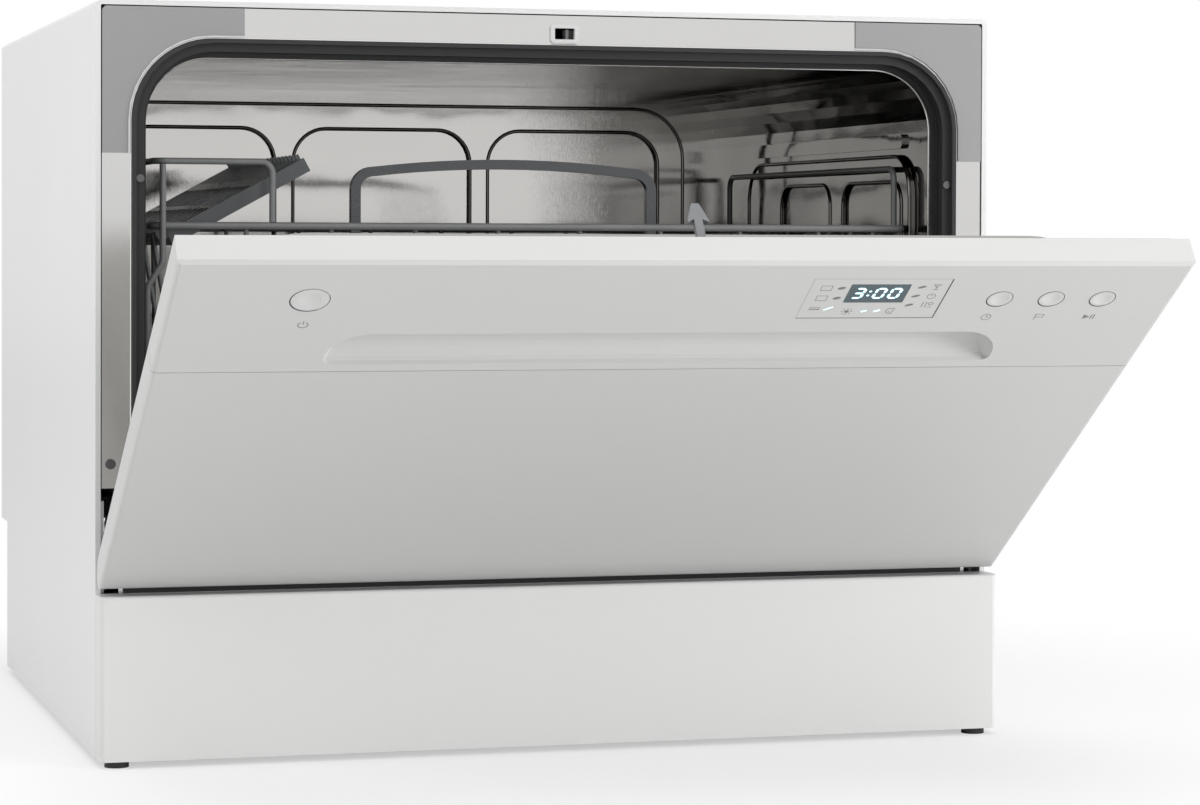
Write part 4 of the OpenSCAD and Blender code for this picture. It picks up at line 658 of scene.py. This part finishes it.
def sill_shade_strip():
    """Black strip of painted shade on the frame behind the door's foot, where there is only shadow: a profile
    with a rounded front carried along x.
    """
    r = (STRIP_BACK - STRIP_FRONT) / 2
    high = arc(STRIP_FRONT + r, STRIP_TOP - r, r, 90, 180, 5)
    low = arc(STRIP_FRONT + r, STRIP_LOW + r, r, 180, 270, 5)
    profile = np.concatenate([[(STRIP_BACK, STRIP_TOP)], high, low, [(STRIP_BACK, STRIP_LOW)]])
    n = len(profile)
    ends = [np.column_stack([np.full(n, x), profile]) for x in (-STRIP_HALF, STRIP_HALF)]
    k = np.arange(n)
    k2 = (k + 1) % n
    faces = np.column_stack([k, k2, n + k2, n + k]).tolist() + [k[::-1].tolist(), (n + k).tolist()]
    return np.concatenate(ends) * MM + (0, FACE_Y, 0), faces


# Bends of the pressed panels, in millimetres. A row is low and high across, low and high up, and the corner
PRESS_STEP = 2.5
PRESS_ARC = 10
BEND_R = 1.3
BACK_Y = 440.0
BACK_PRESSINGS = ((-220, 211, 166, 398.5, 36), (-204, -91, 182, 381.5, 24), (-78, 51, 182, 381.5, 24),
                  (64, 192, 182, 381.5, 24))
WALL_X = 244.2
WALL_PRESSINGS = ((64, 376, 168, 356.5, 26), (78, 184, 184, 340.5, 15), (208, 306, 184, 340.5, 15))


def pressed_path(x0, x1, z0, z1, corner):
    """Rounded rectangle as a closed path, counter-clockwise: four quarter arcs."""
    middles = ((x1 - corner, z1 - corner, 0), (x0 + corner, z1 - corner, 90),
               (x0 + corner, z0 + corner, 180), (x1 - corner, z0 + corner, 270))
    return np.concatenate([arc(x, z, corner, turn, turn + 90, PRESS_ARC) for x, z, turn in middles])


def back_bends():
    """Rounded bends along the edges of the panels pressed into the tub's back."""
    return joined([bead(pressed_path(*edge), BACK_Y - PRESS_STEP, BEND_R) for edge in BACK_PRESSINGS])


def wall_bends(side):
    """The same on a side wall: the path lies in y and z, and the bead's depth in x."""
    points, faces = joined([bead(pressed_path(*edge), 0.0, BEND_R) for edge in WALL_PRESSINGS])
    along, depth, up = points[:, 0] / MM, (points[:, 1] - FACE_Y) / MM, points[:, 2] / MM
    turned = np.column_stack([side * (WALL_X - PRESS_STEP + depth), along, up]) * MM + (0, FACE_Y, 0)
    return turned, faces if side < 0 else [face[::-1] for face in faces]


def add_tub_trim():
    """The thin edges in and round the tub, bright with painted highlight and dark with painted reflection, and
    the black strip of painted shade behind the door's foot.
    """
    for name, shape, finish in (
            ("mouth_rim", bead(mouth_path(RIM_INSET), MOUTH_Y, RIM_R), highlight_rim_steel),
            ("tub_lip", bead(lip_path(), LIP_Y, LIP_R, closed=False), highlight_rim_steel),
            ("gasket_clips", joined([stud((x, CLIP_Y, CLIP_Z)) for x in CLIP_X]), highlight_rim_steel),
            ("back_bends", back_bends(), dark_reflection_bend_steel),
            ("left_wall_bends", wall_bends(-1), dark_reflection_bend_steel),
            ("right_wall_bends", wall_bends(1), dark_reflection_bend_steel)):
        piece(name, *shape, finish, "cabinet", smooth=True)
    piece("sill_shade_strip", *sill_shade_strip(), FINISHES["rubber_black"], "cabinet")


# Stage: name, place, aim, width and height in metres, watts, and whether metal mirrors the lamp
LAMPS = (
    ("left_box", (-2.6, -0.6, 1.6), (0, 0, 0.2), (2.2, 1.8), 33, True),
    ("right_box", (2.4, -2.6, 1.3), (0.1, -0.2, 0.2), (1.4, 2.0), 34, False),
    ("top_box", (0.0, -0.4, 2.8), (0, 0, 0.2), (2.4, 2.4), 34, False),
    ("low_box", (2.3, -1.7, 0.35), (0.2, -0.2, 0.1), (1.2, 0.6), 44, False),
)
WHITE = (1, 1, 1, 1)
SKY_LEVEL = 0.60
FLOOR_HALF = 8.0
FLOOR_TONES = ((0.80, 0.80, 0.80), (0.82, 0.82, 0.82))
SHADOW_REACH = (0.40, 0.78)
SHADOW_SHARE = 0.50


def area_light(name, place, aim, size, power, mirrored):
    """A soft box at place that looks at aim."""
    data = bpy.data.lights.new(name, "AREA")
    data.shape = "RECTANGLE"
    data.size, data.size_y = size
    data.energy = power
    lamp = bpy.data.objects.new(name, data)
    bpy.context.scene.collection.objects.link(lamp)
    lamp.location = place
    away = np.array(place, float) - np.array(aim, float)
    lamp.rotation_euler = Vector(away).to_track_quat("Z", "Y").to_euler()
    lamp.visible_glossy = mirrored


def white_world():
    """White to camera, glossy and transmission rays, and a plain level of light to all others."""
    world = bpy.data.worlds.new("studio")
    bpy.context.scene.world = world
    world.use_nodes = True
    sky = Nodes(world.node_tree)
    camera, glossy, through = sky.rays("Is Camera Ray", "Is Glossy Ray", "Is Transmission Ray")
    soft = sky.node("ShaderNodeBackground", None, {"Color": WHITE, "Strength": SKY_LEVEL})
    white = sky.node("ShaderNodeBackground", None, {"Color": WHITE, "Strength": 1.0})
    seen = camera.most(glossy).most(through)
    mixed = sky.node("ShaderNodeMixShader", None, {0: seen, 1: soft, 2: white})
    sky.put(sky.end("ShaderNodeOutputWorld"), mixed)


def white_floor():
    """A pale floor that the camera sees as white, but for the soft shadow below the object."""
    half = FLOOR_HALF
    mesh = bpy.data.meshes.new("floor")
    corners = [(-half, -half, 0), (half, -half, 0), (half, half, 0), (-half, half, 0)]
    mesh.from_pydata(corners, [], [[0, 1, 2, 3]])
    floor = bpy.data.objects.new("floor", mesh)
    bpy.context.scene.collection.objects.link(floor)
    f = Finish("floor_paper", Roughness=0.9)
    f.set(Base_Color=f.blend(f.noise(2.0), *FLOOR_TONES))
    away = f.node("ShaderNodeVectorMath", {"operation": "LENGTH"}, {0: f.place()}, output="Value")
    camera = f.rays("Is Camera Ray")[0]
    share = camera * f.fade(away, *SHADOW_REACH, SHADOW_SHARE, 1.0)
    glow = f.node("ShaderNodeEmission", None, {"Color": WHITE})
    f.put(f.last, f.node("ShaderNodeMixShader", None, {0: share, 1: f.surface, 2: glow}))
    mesh.materials.append(f.material)


def set_stage():
    """Floor, world and lamps."""
    white_floor()
    white_world()
    for lamp in LAMPS:
        area_light(*lamp)


set_camera()
dress_solids()
add_marks()
add_tub_trim()
set_stage()
bpy.context.scene.view_settings.view_transform = "Standard"
